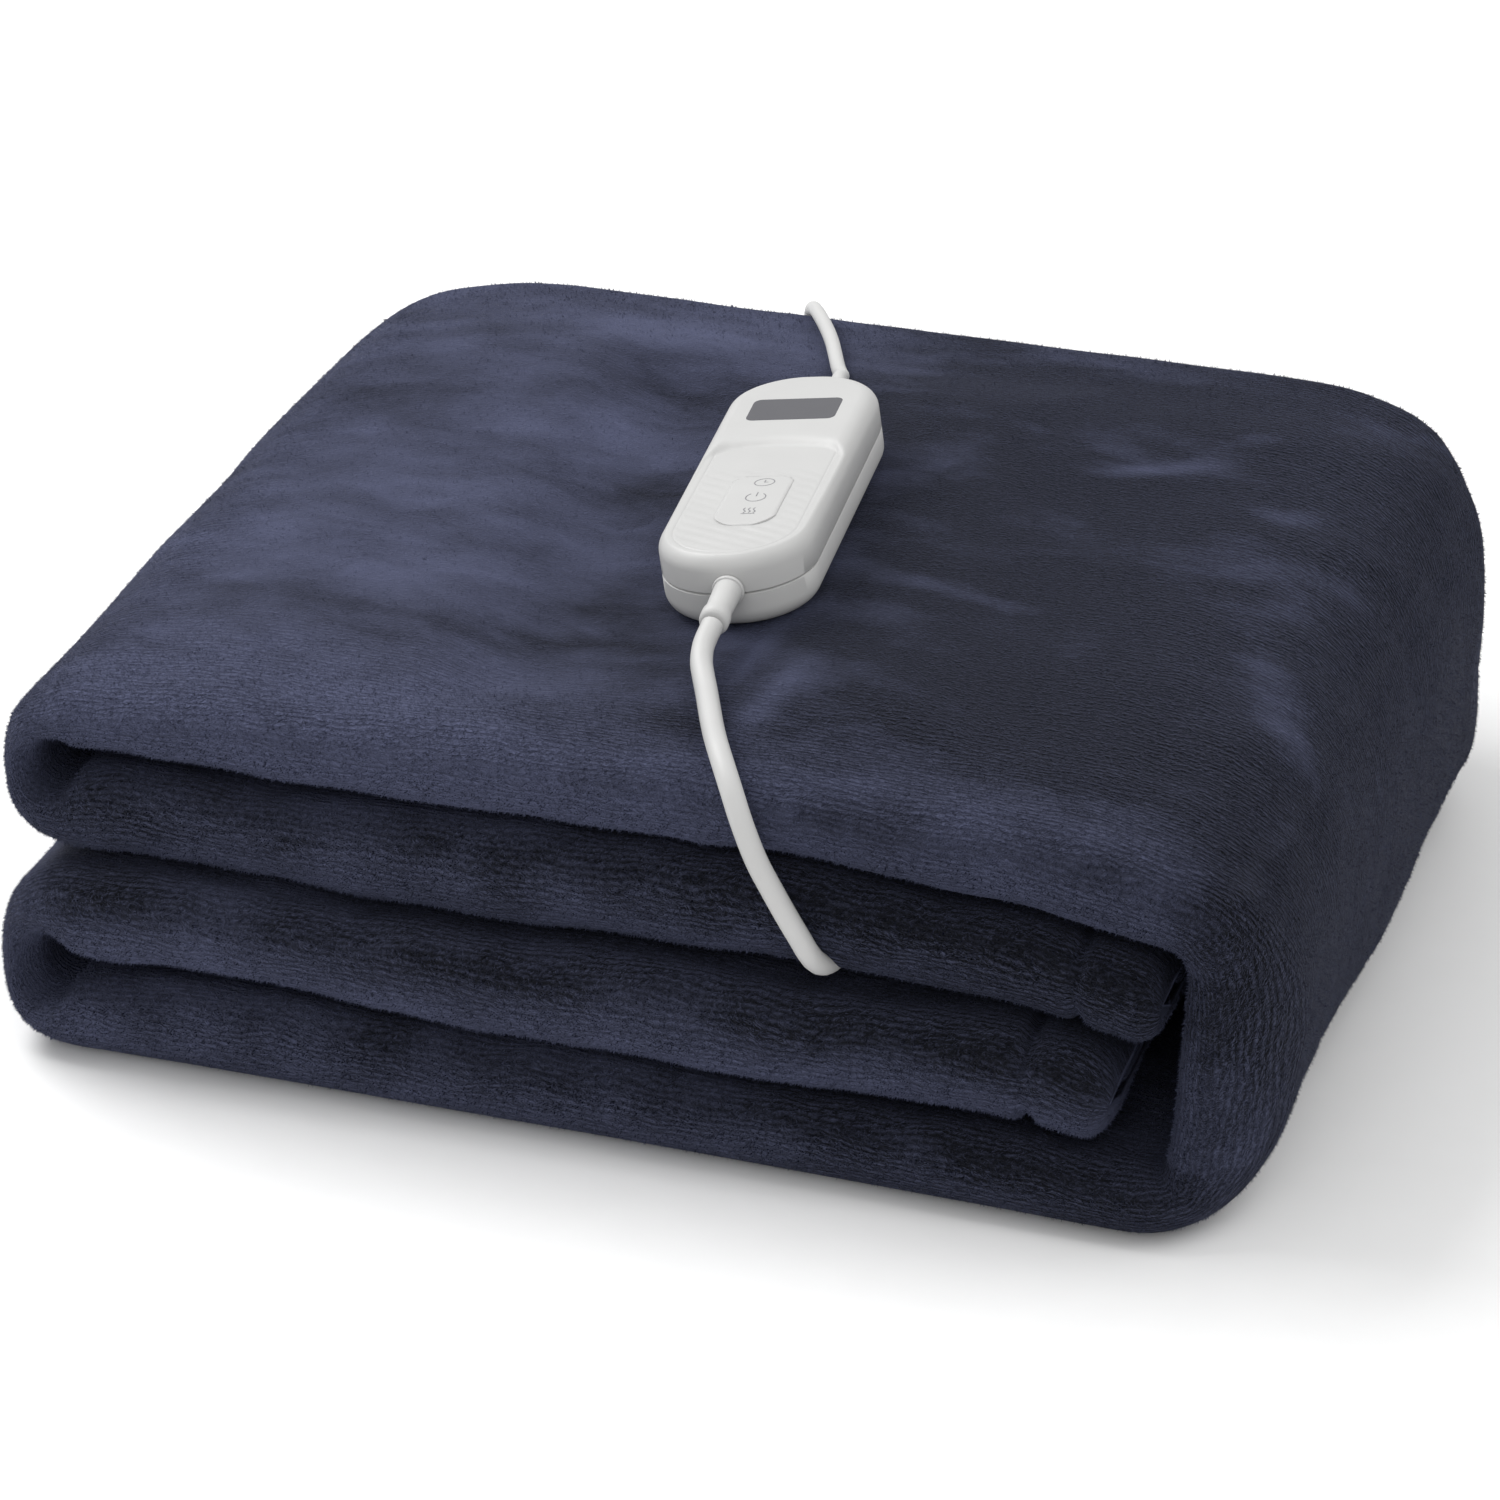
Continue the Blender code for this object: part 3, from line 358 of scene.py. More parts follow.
# Place along the strip, inset from the front and the back, share pressed off outside and inside.
FOLD_ROWS = (
    (0.00, 0.014, 0.004, 0.00, 0.00), (0.10, 0.012, 0.001, 0.00, 0.00),
    (0.55, 0.010, 0.000, 0.00, 0.00), (0.92, 0.012, 0.000, 0.00, 0.05),
    (1.50, 0.014, 0.006, 0.00, 0.58), (2.08, 0.012, 0.000, 0.00, 0.05),
    (2.50, 0.011, 0.000, 0.00, 0.00), (3.00, 0.013, 0.000, 0.00, 0.05),
    (3.30, 0.011, 0.004, 0.00, 0.16), (3.55, 0.006, 0.008, 0.00, 0.02),
    (3.80, 0.002, 0.012, 0.00, 0.16), (4.00, 0.000, 0.012, 0.00, 0.06),
    (4.50, 0.002, 0.012, 0.00, 0.00), (4.92, 0.002, 0.012, 0.00, 0.05),
    (5.50, 0.004, 0.016, 0.00, 0.58), (6.08, 0.000, 0.012, 0.00, 0.05),
    (6.45, 0.000, 0.012, 0.00, 0.00), (6.90, 0.002, 0.013, 0.00, 0.00),
    (7.00, 0.004, 0.015, 0.00, 0.00),
)
# X along the front edge, then how much higher the fourth, third, second and first strip's top is.
FRONT_ROWS = (
    (-0.205, -0.001, 0.003, 0.002, -0.006), (-0.165, 0.001, 0.004, 0.005, -0.003),
    (-0.130, 0.003, 0.003, 0.003, -0.001), (-0.030, -0.001, 0.001, 0.005, 0.000),
    (0.045, -0.002, 0.003, 0.006, 0.000), (0.110, -0.002, 0.000, -0.001, -0.003),
    (0.165, -0.006, -0.007, -0.007, -0.006), (0.205, -0.006, -0.008, -0.009, -0.010),
)
FRONT_REACH = 0.110
EDGE_DROP, EDGE_REACH = 0.006, 0.075
GAPE_X, GAPE_WIDTH, GAPE_START, GAPE_DEPTH, GAPE_OPENING = 0.068, 0.062, 0.015, 0.080, 0.0040
CONTROLLER_PLACE = Vector((-0.0026, -0.0023, 0.1290))
CONTROLLER_YAW, CONTROLLER_TILT = math.radians(6.0), math.radians(7.5)
CONTROLLER_SIZE = Vector((0.050, 0.142, 0.0255))
SEAT_MARGIN, SEAT_FADE, SEAM_GAP = 0.024, 0.045, 0.0003


def read_table(rows, place):
    """A table's columns at one place, eased between its rows. The first column is the place."""
    if place <= rows[0][0]:
        return rows[0]
    for low, high in zip(rows, rows[1:]):
        if place <= high[0]:
            share = ease((place - low[0]) / (high[0] - low[0]))
            return tuple(mix(a, b, share) for a, b in zip(low, high))
    return rows[-1]


print("one layer of the throw is", round(PLY * 1000, 1), "mm thick with its pile")

# %% [markdown]
# ### The strip's outline
#
# Seen from its end the strip is three layers thick. The outer layer turns round at the front crease
# into the inner one, and at the back crease into the middle one, whose hem is tucked in. The
# outline follows all three once round, as distance from the back and height. Its points stand close
# where the cloth shows and wide apart where layers hide each other.

# %% Draw the outline of three layers
def spread_line(start, end, steps, crowd=1.0):
    """Points from start to end without the last. Crowd above 1 puts more of them near the start."""
    points = []
    for i in range(steps):
        share = (i / steps) ** crowd
        points.append((mix(start[0], end[0], share), mix(start[1], end[1], share)))
    return points


def arc(centre, radius, start, end, steps):
    points = []
    for i in range(steps):
        angle = math.radians(mix(start, end, i / steps))
        points.append((centre[0] + radius * math.cos(angle), centre[1] + radius * math.sin(angle)))
    return points


def strip_section():
    half, layer, pitch = STRIP_THICKNESS / 2, PLY / 2, PLY + LAYER_GAP
    front = PACK_DEPTH - half
    back = pitch / 2 + layer
    hem = PACK_DEPTH - HEM_FRONT_INSET - layer
    tucked = HEM_BACK_INSET + layer
    outline = spread_line((front, -half), (tucked, -half), 30, 1.6)[::-1]
    outline += arc((front, 0.0), half, -90, 90, 26)
    outline += spread_line((front, half), (back, half), 88)
    outline += arc((back, pitch / 2), back, 90, 270, 12)
    outline += spread_line((back, -layer), (hem, -layer), 7)
    outline += arc((hem, 0.0), layer, -90, 90, 5)
    outline += spread_line((hem, layer), (back, layer), 7)
    outline += arc((back, pitch / 2), LAYER_GAP / 2, 270, 90, 2)
    outline += spread_line((back, half - PLY), (front, half - PLY), 7)
    outline += arc((front, 0.0), half - PLY, 90, -90, 7)
    outline += spread_line((front, PLY - half), (tucked, PLY - half), 7)
    outline += arc((tucked, layer - half), layer, 90, 270, 6)
    return outline


section = strip_section()
print("points round the section:", len(section))

# %% [markdown]
# ### The strip's way through the pack
#
# Seen from the front, the outer face runs straight and turns at the folds. The rolls at the left
# and the wrap at the right are squared ellipses, which is what a soft thick fold looks like under a
# bit of weight. Every station knows its place (whole numbers are where a fold begins or ends), its
# X and Z, and how far along the strip it is.

# %% Lay out the stations
# How many stations each stretch has. The hemmed ones have these besides the close ones.
HEMMED_STEPS, ROLL_STEPS, TOP_STEPS, WRAP_STEPS, BOTTOM_STEPS = 62, 26, 92, 52, 66
# How far the close stations are from a hemmed end: round the end first, then across its seam.
HEM_STATIONS = (
    0.0, 0.0004, 0.0012, 0.0024, 0.0040, 0.0060, 0.0085, 0.0115, 0.0145, 0.0175, 0.0200,
    0.0220, 0.0232, 0.0244, 0.0256, 0.0268, 0.0280, 0.0300, 0.0330, 0.0365,
)
HEM_REACH = 0.040


def fold_turn(centre, reach, rise, power, start, end, steps):
    points = []
    for i in range(1, steps):
        angle = math.radians(mix(start, end, i / steps))
        across, up = math.cos(angle), math.sin(angle)
        x = centre[0] + math.copysign(abs(across) ** (2 / power), across) * reach
        z = centre[1] + math.copysign(abs(up) ** (2 / power), up) * rise
        points.append((x, z))
    return points


def hemmed_run(end, left, z):
    """From a hemmed end to the left fold."""
    close = [(end - step, z) for step in HEM_STATIONS]
    return close + spread_line((end - HEM_REACH, z), (left, z), HEMMED_STEPS) + [(left, z)]


def fold_stations():
    left, right = -PACK_WIDTH / 2 + ROLL_REACH, PACK_WIDTH / 2 - WRAP_REACH
    middle = PACK_HEIGHT / 2
    wall = PACK_WIDTH / 2 - STRIP_THICKNESS
    above, below = middle + LAYER_GAP / 2, middle - LAYER_GAP / 2
    roll = (PACK_HEIGHT - above) / 2
    runs = (
        hemmed_run(wall - UPPER_END_CLEARANCE, left, above),
        fold_turn((left, above + roll), ROLL_REACH, roll, ROLL_POWER, 270, 90, ROLL_STEPS),
        spread_line((left, PACK_HEIGHT), (right, PACK_HEIGHT), TOP_STEPS) + [(right, PACK_HEIGHT)],
        fold_turn((right, middle), WRAP_REACH, middle, WRAP_POWER, 90, -90, WRAP_STEPS),
        spread_line((right, 0.0), (left, 0.0), BOTTOM_STEPS) + [(left, 0.0)],
        fold_turn((left, roll), ROLL_REACH, roll, ROLL_POWER, 270, 90, ROLL_STEPS),
        hemmed_run(wall - LOWER_END_CLEARANCE, left, below)[::-1],
    )
    stations, walked, before = [], 0.0, None
    for number, run in enumerate(runs):
        for i, point in enumerate(run):
            share = (i + 1) / (len(run) + 1)
            if number % 2 == 0:
                share = (point[0] - run[0][0]) / (run[-1][0] - run[0][0])
            walked += math.dist(point, before) if before else 0.0
            before = point
            stations.append([number + share, *point, walked])
    return stations


stations = fold_stations()
cloth_length = stations[-1][3]
print("stations:", len(stations), "strip length:", round(cloth_length, 3), "m")

# %% [markdown]
# ### Settling, creases and dents
#
# A stack that lies on a table for a while isn't even. Everything below is a change of place that
# depends on where a point is, and never on which layer it belongs to: two layers that face each
# other move together, and can't run into each other. The same functions lower the edges, let the
# crease gape where the lead goes in, and press a flat seat for the controller.

# %% Settle the stack
def behind_front(y):
    """How far a place is behind the pack's front edge."""
    return y + PACK_DEPTH / 2


def corner_cut(x, edge, radius):
    over = abs(x) - (abs(edge) - radius)
    if over <= 0.0 or x * edge <= 0.0:
        return 0.0
    return radius - math.sqrt(max(radius * radius - over * over, 0.0))


def round_in_plan(x, y):
    """Draws a point in, so that the pack's corners are round in plan."""
    edge = PACK_WIDTH / 2 if x > 0 else -PACK_WIDTH / 2
    near, far = CORNERS["right" if x > 0 else "left"]
    front = -PACK_DEPTH / 2 + corner_cut(x, edge, near)
    back = PACK_DEPTH / 2 - corner_cut(x, edge, far)
    return mix(front, back, behind_front(y) / PACK_DEPTH)


def front_offset(x, level):
    offsets = (0.0, *read_table(FRONT_ROWS, x)[1:])
    low = min(max(int(level), 0), STRIP_COUNT - 1)
    return mix(offsets[low], offsets[low + 1], min(max(level - low, 0.0), 1.0))


def edge_drop(x, y):
    side = ease((abs(x) - (PACK_WIDTH / 2 - EDGE_REACH)) / EDGE_REACH)
    back = ease((y - (PACK_DEPTH / 2 - EDGE_REACH)) / EDGE_REACH)
    return EDGE_DROP * (side + back)


def gape(x, y):
    beside = 1.0 - ease(abs(x - GAPE_X) / GAPE_WIDTH)
    behind = 1.0 - ease((behind_front(y) - GAPE_START) / GAPE_DEPTH)
    return GAPE_OPENING * beside * behind


def seat_offset(x, y):
    """A point's place from the controller's middle, along its width and its length."""
    return Matrix.Rotation(-CONTROLLER_YAW, 2) @ (Vector((x, y)) - CONTROLLER_PLACE.xy)


def seat_share(x, y):
    place = seat_offset(x, y)
    across = abs(place.x) - (CONTROLLER_SIZE.x / 2 + SEAT_MARGIN)
    along = abs(place.y) - (CONTROLLER_SIZE.y / 2 + SEAT_MARGIN)
    return 1.0 - ease(max(across, along) / SEAT_FADE)


def seat_height(x, y):
    across = min(seat_offset(x, y).x, CONTROLLER_SIZE.x / 2)
    return CONTROLLER_PLACE.z - SEAM_GAP + across * math.tan(CONTROLLER_TILT)


def settle(x, y, z):
    level = z / STRIP_PITCH
    front = 1.0 - ease(behind_front(y) / FRONT_REACH)
    lift = front * front_offset(x, level) - edge_drop(x, y) * level / STRIP_COUNT
    if 1.0 < level < 2.0:
        lift -= gape(x, y) * (level - 1.0)
    if level > 3.0:
        top = PACK_HEIGHT + front * front_offset(x, STRIP_COUNT) - edge_drop(x, y)
        lift += (seat_height(x, y) - top) * seat_share(x, y) * (level - 3.0)
    return z + lift

# %% [markdown]
# ### Hollows and crumples
#
# This adds what the eye reads as soft: long shallow hollows across the top, and small crumples
# along the lips and the right wrap. It fades out under the controller, beside the cords and at the
# floor, where the cloth is held. Blender's vector noise starts from the clock unless it is given a
# seed, so it gets one, and every run makes the same cloth.

# %% Add hollows and crumples
MAINS_ON_CLOTH = 140  # how many points of the mains lead are on the pack or close behind it
cord_points = lead_line[::2] + mains_line[:MAINS_ON_CLOTH:2]
noise.seed_set(7)
# Below these heights a point is far from the controller, and from the cords.
CASE_ABOVE, CORDS_ABOVE = 0.09, 0.05
CORD_HOLD, CORD_FADE, FLOOR_FADE = 0.0045, 0.012, 0.020
# Waves to a metre, and how far they push the cloth.
HOLLOW_WAVES, HOLLOW_PUSH = (9.0, 17.0, 8.0), 0.0016
CREASE_WAVES, CREASE_PUSH, CREASE_LEAST = 38.0, 0.0011, 0.25
SMALL_WAVES, SMALL_PUSH = 95.0, 0.0005
# Where the crumples of the lips and of the right side begin, and over how far they change.
ROUGH_LIP, ROUGH_SIDE, SIDE_SHARE = (0.004, 0.045), (0.120, 0.060), 0.8


def free_share(point):
    """0 where the cloth is held by the controller, a cord or the floor, and 1 where it is free."""
    held = seat_share(point.x, point.y) if point.z > CASE_ABOVE else 0.0
    near = 1.0
    if point.z > CORDS_ABOVE:
        near = min((point - cord_point).length for cord_point in cord_points)
    return (1.0 - held) * ease((near - CORD_HOLD) / CORD_FADE) * ease(point.z / FLOOR_FADE)


def times(point, factors):
    return Vector([value * factor for value, factor in zip(point, factors)])


def crumple(point):
    """A soft push aside: long hollows everywhere, small crumples at the front and at the right."""
    hollow = noise.noise_vector(times(point, HOLLOW_WAVES))
    crease = noise.noise_vector(point * CREASE_WAVES + Vector((5.0, 1.0, 2.0)))
    small = noise.noise_vector(point * SMALL_WAVES)
    lip = 1.0 - ease((behind_front(point.y) - ROUGH_LIP[0]) / ROUGH_LIP[1])
    side = ease((point.x - ROUGH_SIDE[0]) / ROUGH_SIDE[1])
    rough = max(lip, SIDE_SHARE * side)
    push = hollow * HOLLOW_PUSH + crease * CREASE_PUSH * (CREASE_LEAST + rough)
    return (push + small * SMALL_PUSH * rough) * free_share(point)

# %% [markdown]
# ### Lofting the cloth
#
# Now the outline goes to every station. The hemmed ends are rounded over their last centimetre, and
# a stitched seam pinches the strip 25 mm from each end. The mesh also carries a UV map in metres,
# U along the strip and V round its layers, so that the pile's rows can follow the cloth through
# every fold.

# %% Loft the throw
END_ROUND, END_PINCH = 0.0100, 0.72
SEAM_PLACE, SEAM_WIDTH, SEAM_PINCH = 0.0250, 0.0024, 0.20
MOST_PINCH = 0.9
END_DRAW = 0.012  # how far a pinch draws the strip's two edges in


def rounded_off(inset, radius):
    """How much a rounded edge has lost at an inset, as a share of its radius."""
    over = max(1.0 - inset / radius, 0.0)
    return 1.0 - math.sqrt(max(1.0 - over * over, 0.0))


def end_pinch(from_end):
    """How much of its half thickness the strip loses at a hemmed end and at its seam."""
    seam = math.exp(-(((from_end - SEAM_PLACE) / SEAM_WIDTH) ** 2))
    return min(END_PINCH * rounded_off(from_end, END_ROUND) + SEAM_PINCH * seam, MOST_PINCH)


def station_directions(stations):
    """The direction that the outer face looks at each station."""
    directions = []
    for i in range(len(stations)):
        before, after = stations[max(i - 1, 0)], stations[min(i + 1, len(stations) - 1)]
        along = Vector((after[1] - before[1], after[2] - before[2])).normalized()
        directions.append(Vector((-along.y, along.x)))
    return directions


def flat_point(station, outward, depth, height):
    """Where a point of the section comes to lie before the stack settles."""
    place, x, z, walked = station
    _, front_inset, back_inset, outer_cut, inner_cut = read_table(FOLD_ROWS, place)
    pinch = end_pinch(min(walked, cloth_length - walked)) * 0.5
    outer_cut, inner_cut = outer_cut + pinch, inner_cut + pinch
    thickness = STRIP_THICKNESS * (1.0 - outer_cut - inner_cut)
    sunk = STRIP_THICKNESS * outer_cut + (0.5 - height / STRIP_THICKNESS) * thickness
    back = PACK_DEPTH / 2 - back_inset - END_DRAW * pinch
    front = -PACK_DEPTH / 2 + front_inset + END_DRAW * pinch
    point_x, point_z = x - outward.x * sunk, z - outward.y * sunk
    point_y = round_in_plan(point_x, mix(back, front, depth / PACK_DEPTH))
    return Vector((point_x, point_y, point_z))


def cloth_point(flat):
    point = Vector((flat.x, flat.y, settle(*flat)))
    return point + crumple(point)


def round_lengths(points):
    """Walked distance round a closed outline, with the closing step at the end."""
    walked = [0.0]
    for p, q in zip(points, points[1:] + points[:1]):
        walked.append(walked[-1] + math.dist(p, q))
    return walked


def loft_cloth():
    count = len(section)
    points = [cloth_point(flat) for flat in flat_places]
    rows = [points[start:start + count] for start in range(0, len(points), count)]
    across = round_lengths(section)
    bm = bmesh.new()
    uv = bm.loops.layers.uv.new("cloth")
    verts = [[bm.verts.new(point) for point in row] for row in rows]
    for i, (low, high) in enumerate(zip(verts, verts[1:])):
        for j in range(count):
            k = (j + 1) % count
            face = bm.faces.new((low[j], low[k], high[k], high[j]))
            corners = ((i, j), (i, j + 1), (i + 1, j + 1), (i + 1, j))
            for loop, (station, step) in zip(face.loops, corners):
                loop[uv].uv = (stations[station][3], across[step])
    bm.faces.new(verts[0][::-1])
    bm.faces.new(verts[-1])
    bmesh.ops.recalc_face_normals(bm, faces=bm.faces)
    mesh = bpy.data.meshes.new("throw")
    bm.to_mesh(mesh)
    bm.free()
    mesh.shade_smooth()
    return mesh


flat_places = [
    flat_point(station, outward, depth, height)
    for station, outward in zip(stations, station_directions(stations))
    for depth, height in section
]
throw = new_object("throw", loft_cloth())
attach(throw, "root")
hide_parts("blanket")
print("throw:", len(throw.data.polygons), "faces")

# %% [markdown]
# ### Plush
#
# Plush is a knitted cloth with a dense short pile. Three things make it look as it does. The fibres
# catch light at a grazing angle, so every edge that turns away is paler: that is sheen. The pile
# leans in one direction and parts in rows where the cloth bends, so lips and rolls show fine wavy
# ridges about 2 mm apart. And where a hand has brushed it the other way, the nap is lighter or
# darker in soft patches.
#
# The rows are a wave across the strip. A soft noise makes it wander, and a finer one breaks it up.
# The patches are worked out per point, because some of them lie in particular places: pale streaks
# on the right, dark ones beside the controller. The same lightness also carries painted light:
# painted shade on the right side and in the crease under each strip's overhang, and painted sheen
# on the lips. Both go into the attribute "look", which the material reads: how light the nap and
# the painted light make each point, and how plainly the pile parts in rows.

# %% Work out the nap and the painted light
# Place on the top, half length and half width, turn in degrees, and how much lighter. Most are
# patches of brushed nap; the first, along the top's front edge, is partly nap and partly painted
# sheen.
NAP_AND_SHEEN_MARKS = (
    (-0.110, -0.158, 0.095, 0.030, -6.0, 0.40), (-0.110, 0.145, 0.060, 0.018, -8.0, 0.26),
    (-0.098, 0.055, 0.050, 0.030, 10.0, 0.16), (-0.160, -0.030, 0.030, 0.022, 60.0, 0.14),
    (-0.095, -0.020, 0.055, 0.006, -4.0, 0.20), (0.017, -0.092, 0.004, 0.024, -6.0, 0.42),
    (0.031, -0.118, 0.005, 0.028, -10.0, 0.42), (0.069, -0.029, 0.034, 0.005, -6.0, 0.38),
    (0.098, 0.080, 0.022, 0.005, 28.0, 0.45), (0.125, 0.112, 0.016, 0.006, 40.0, 0.42),
    (0.150, 0.057, 0.010, 0.008, 0.0, 0.42), (0.163, 0.000, 0.009, 0.010, 0.0, 0.36),
    (0.178, -0.062, 0.050, 0.010, -66.0, 0.38), (0.071, 0.165, 0.034, 0.007, -4.0, 0.34),
    (0.020, 0.115, 0.040, 0.034, 0.0, -0.26), (0.060, 0.012, 0.030, 0.012, -4.0, -0.14),
    (0.032, -0.070, 0.030, 0.010, -8.0, -0.24), (-0.036, -0.058, 0.022, 0.012, -6.0, -0.34),
    (-0.102, -0.092, 0.045, 0.005, -5.0, -0.26), (-0.045, 0.020, 0.012, 0.050, 12.0, -0.22),
    (0.075, -0.085, 0.045, 0.026, -6.0, -0.12),
)
# Painted light on each strip's front, from the lowest strip up: the change at its lower edge and
# at its upper edge. A lighter lip is painted sheen; a darker upper edge is painted shade in the
# crease under the strip above.
LAYER_SHADES = ((-0.12, -0.36), (0.32, -0.50), (-0.16, -0.34), (0.36, 0.12))
# Painted sheen: how much lighter the two lips get towards the right. The strips between them get
# half of it.
LIP_PAINTED_SHEEN = 0.34
SHADE_FRONT = (0.012, 0.045)  # behind the front edge, where the shades fade out, and over how far
SHADE_LEFT, SHADE_RIGHT = (0.008, 0.022), (0.020, 0.020)  # the same from the left and right side
NAP_STRETCH = (22.0, 46.0, 30.0)  # patches to a metre along X, Y and Z
BROAD_SCALE, BROAD_CHANGE = 0.55, 0.36
STREAK_SCALE, STREAK_CHANGE = 1.9, 0.26
# The last two are painted shade: how much darker the pack is painted to the right, and on its right
# wrap, where less light falls.
NAP_LEVEL, RIGHT_PAINTED_SHADE, WRAP_PAINTED_SHADE = 0.66, 0.58, 0.20  # at the left, and how much darker to the right
TOP_FROM = 0.108  # only what is higher than this has the marks of the top
RIGHT_ROWS, BACK_CALM = 0.35, 0.7  # the rows' share at the right, and what they lose at the back


def layer_shade(flat):
    """How much lighter the front of a strip is painted, by the height in the strip:
    painted sheen on the lips, painted shade in the creases.
    """
    near = 1.0 - ease((behind_front(flat.y) - SHADE_FRONT[0]) / SHADE_FRONT[1])
    level = min(max(flat.z / STRIP_PITCH, 0.0), STRIP_COUNT - 0.001)
    lower, upper = LAYER_SHADES[int(level)]
    inner = ease((flat.x + PACK_WIDTH / 2 - SHADE_LEFT[0]) / SHADE_LEFT[1])
    inner *= ease((PACK_WIDTH / 2 - SHADE_RIGHT[0] - flat.x) / SHADE_RIGHT[1])
    shade = mix(lower, upper, ease(level - int(level)))
    # The lips get painted sheen that grows towards the right.
    share = LIP_PAINTED_SHEEN if lower > 0.0 else LIP_PAINTED_SHEEN / 2
    return near * (inner * shade + share * ease((flat.x + 0.02) / 0.14))


def nap_and_painted_light(point, flat):
    """How light a point is, around 0.5: the nap's own patches, with painted shade and painted sheen
    added.
    """
    stretched = times(point, NAP_STRETCH)
    broad = noise.noise(stretched * BROAD_SCALE) * BROAD_CHANGE
    streaky = noise.noise(stretched * STREAK_SCALE + Vector((3.0, 0.0, 7.0))) * STREAK_CHANGE
    # Painted shade: darker to the right, and darker still on the right wrap, where less light
    # falls.
    fall = RIGHT_PAINTED_SHADE * ease((point.x + 0.10) / 0.24)
    light = NAP_LEVEL + broad + streaky - fall + layer_shade(flat)
    light -= WRAP_PAINTED_SHADE * ease((point.x - 0.165) / 0.035)
    # The top's marks: brushed nap, and painted sheen along its front edge.
    if point.z > TOP_FROM:
        for x, y, long, wide, turn, more in NAP_AND_SHEEN_MARKS:
            offset = Matrix.Rotation(-math.radians(turn), 2) @ Vector((point.x - x, point.y - y))
            light += more * math.exp(-((offset.x / long) ** 2) - (offset.y / wide) ** 2)
    return min(max(light, 0.0), 1.0)


def row_strength(point):
    """How plainly the pile parts in rows: most on the lips, the rolls and the wrap."""
    front = 1.0 - ease((behind_front(point.y) - 0.010) / 0.090)
    left = 1.0 - ease((point.x + PACK_WIDTH / 2 - 0.006) / 0.045)
    left *= 1.0 - BACK_CALM * ease((point.y + 0.100) / 0.120)
    right = ease((point.x - 0.060) / 0.120)
    return max(front, left, RIGHT_ROWS * right)


look = throw.data.attributes.new("look", "FLOAT_COLOR", "POINT")
for vertex, flat, shade in zip(throw.data.vertices, flat_places, look.data):
    shade.color = (nap_and_painted_light(vertex.co, flat), row_strength(vertex.co), 0.0, 1.0)
print("nap worked out for", len(look.data), "points")

# %% Make the plush's material
ROW_PITCH = 0.0022  # from one row of the pile to the next
ROW_WANDER = 21.0  # how far the rows wander, in radians
# Patches to a metre along and across the strip, detail and distortion of each noise.
WANDERING, BREAKS, CURLS = (45.0, 95.0, 2.0), (330.0, 520.0, 2.0, 0.5), (430.0, 800.0, 2.0, 0.8)
FIBRES, BRUSHED = (1700.0, 2600.0, 2.0), (48.0, 90.0, 6.0, 0.9)
# The pile's depth in metres, and each pattern's share in it.
PILE_DEPTH, ROW_HEIGHT, CURL_HEIGHT, FIBRE_HEIGHT = 0.0010, 1.5, 5.0, 0.35
OPEN_CURLS = 0.3  # the curls' share where the pile doesn't part in rows
# Each pattern's share in the tone, and the sums that give the darkest and the lightest colour.
# The rows, curls and fibres are painted shade, darker in the pile's hollows and lighter on its
# crests; the brushed patches are the nap's own.
ROW_PAINTED_SHADE, CURL_PAINTED_SHADE, FIBRE_PAINTED_SHADE, BRUSHED_TONE = 0.46, 0.26, 0.22, 0.56
TONE_RANGE = (0.62, 1.78)
PILE_DARK, PILE_LIGHT = (0.0032, 0.0038, 0.0068), (0.083, 0.092, 0.158)
PILE_SHINE = {
    "Roughness": 0.9, "Specular IOR Level": 0.15,
    "Sheen Weight": 0.17, "Sheen Roughness": 0.36, "Sheen Tint": (0.50, 0.56, 0.95, 1.0),
}


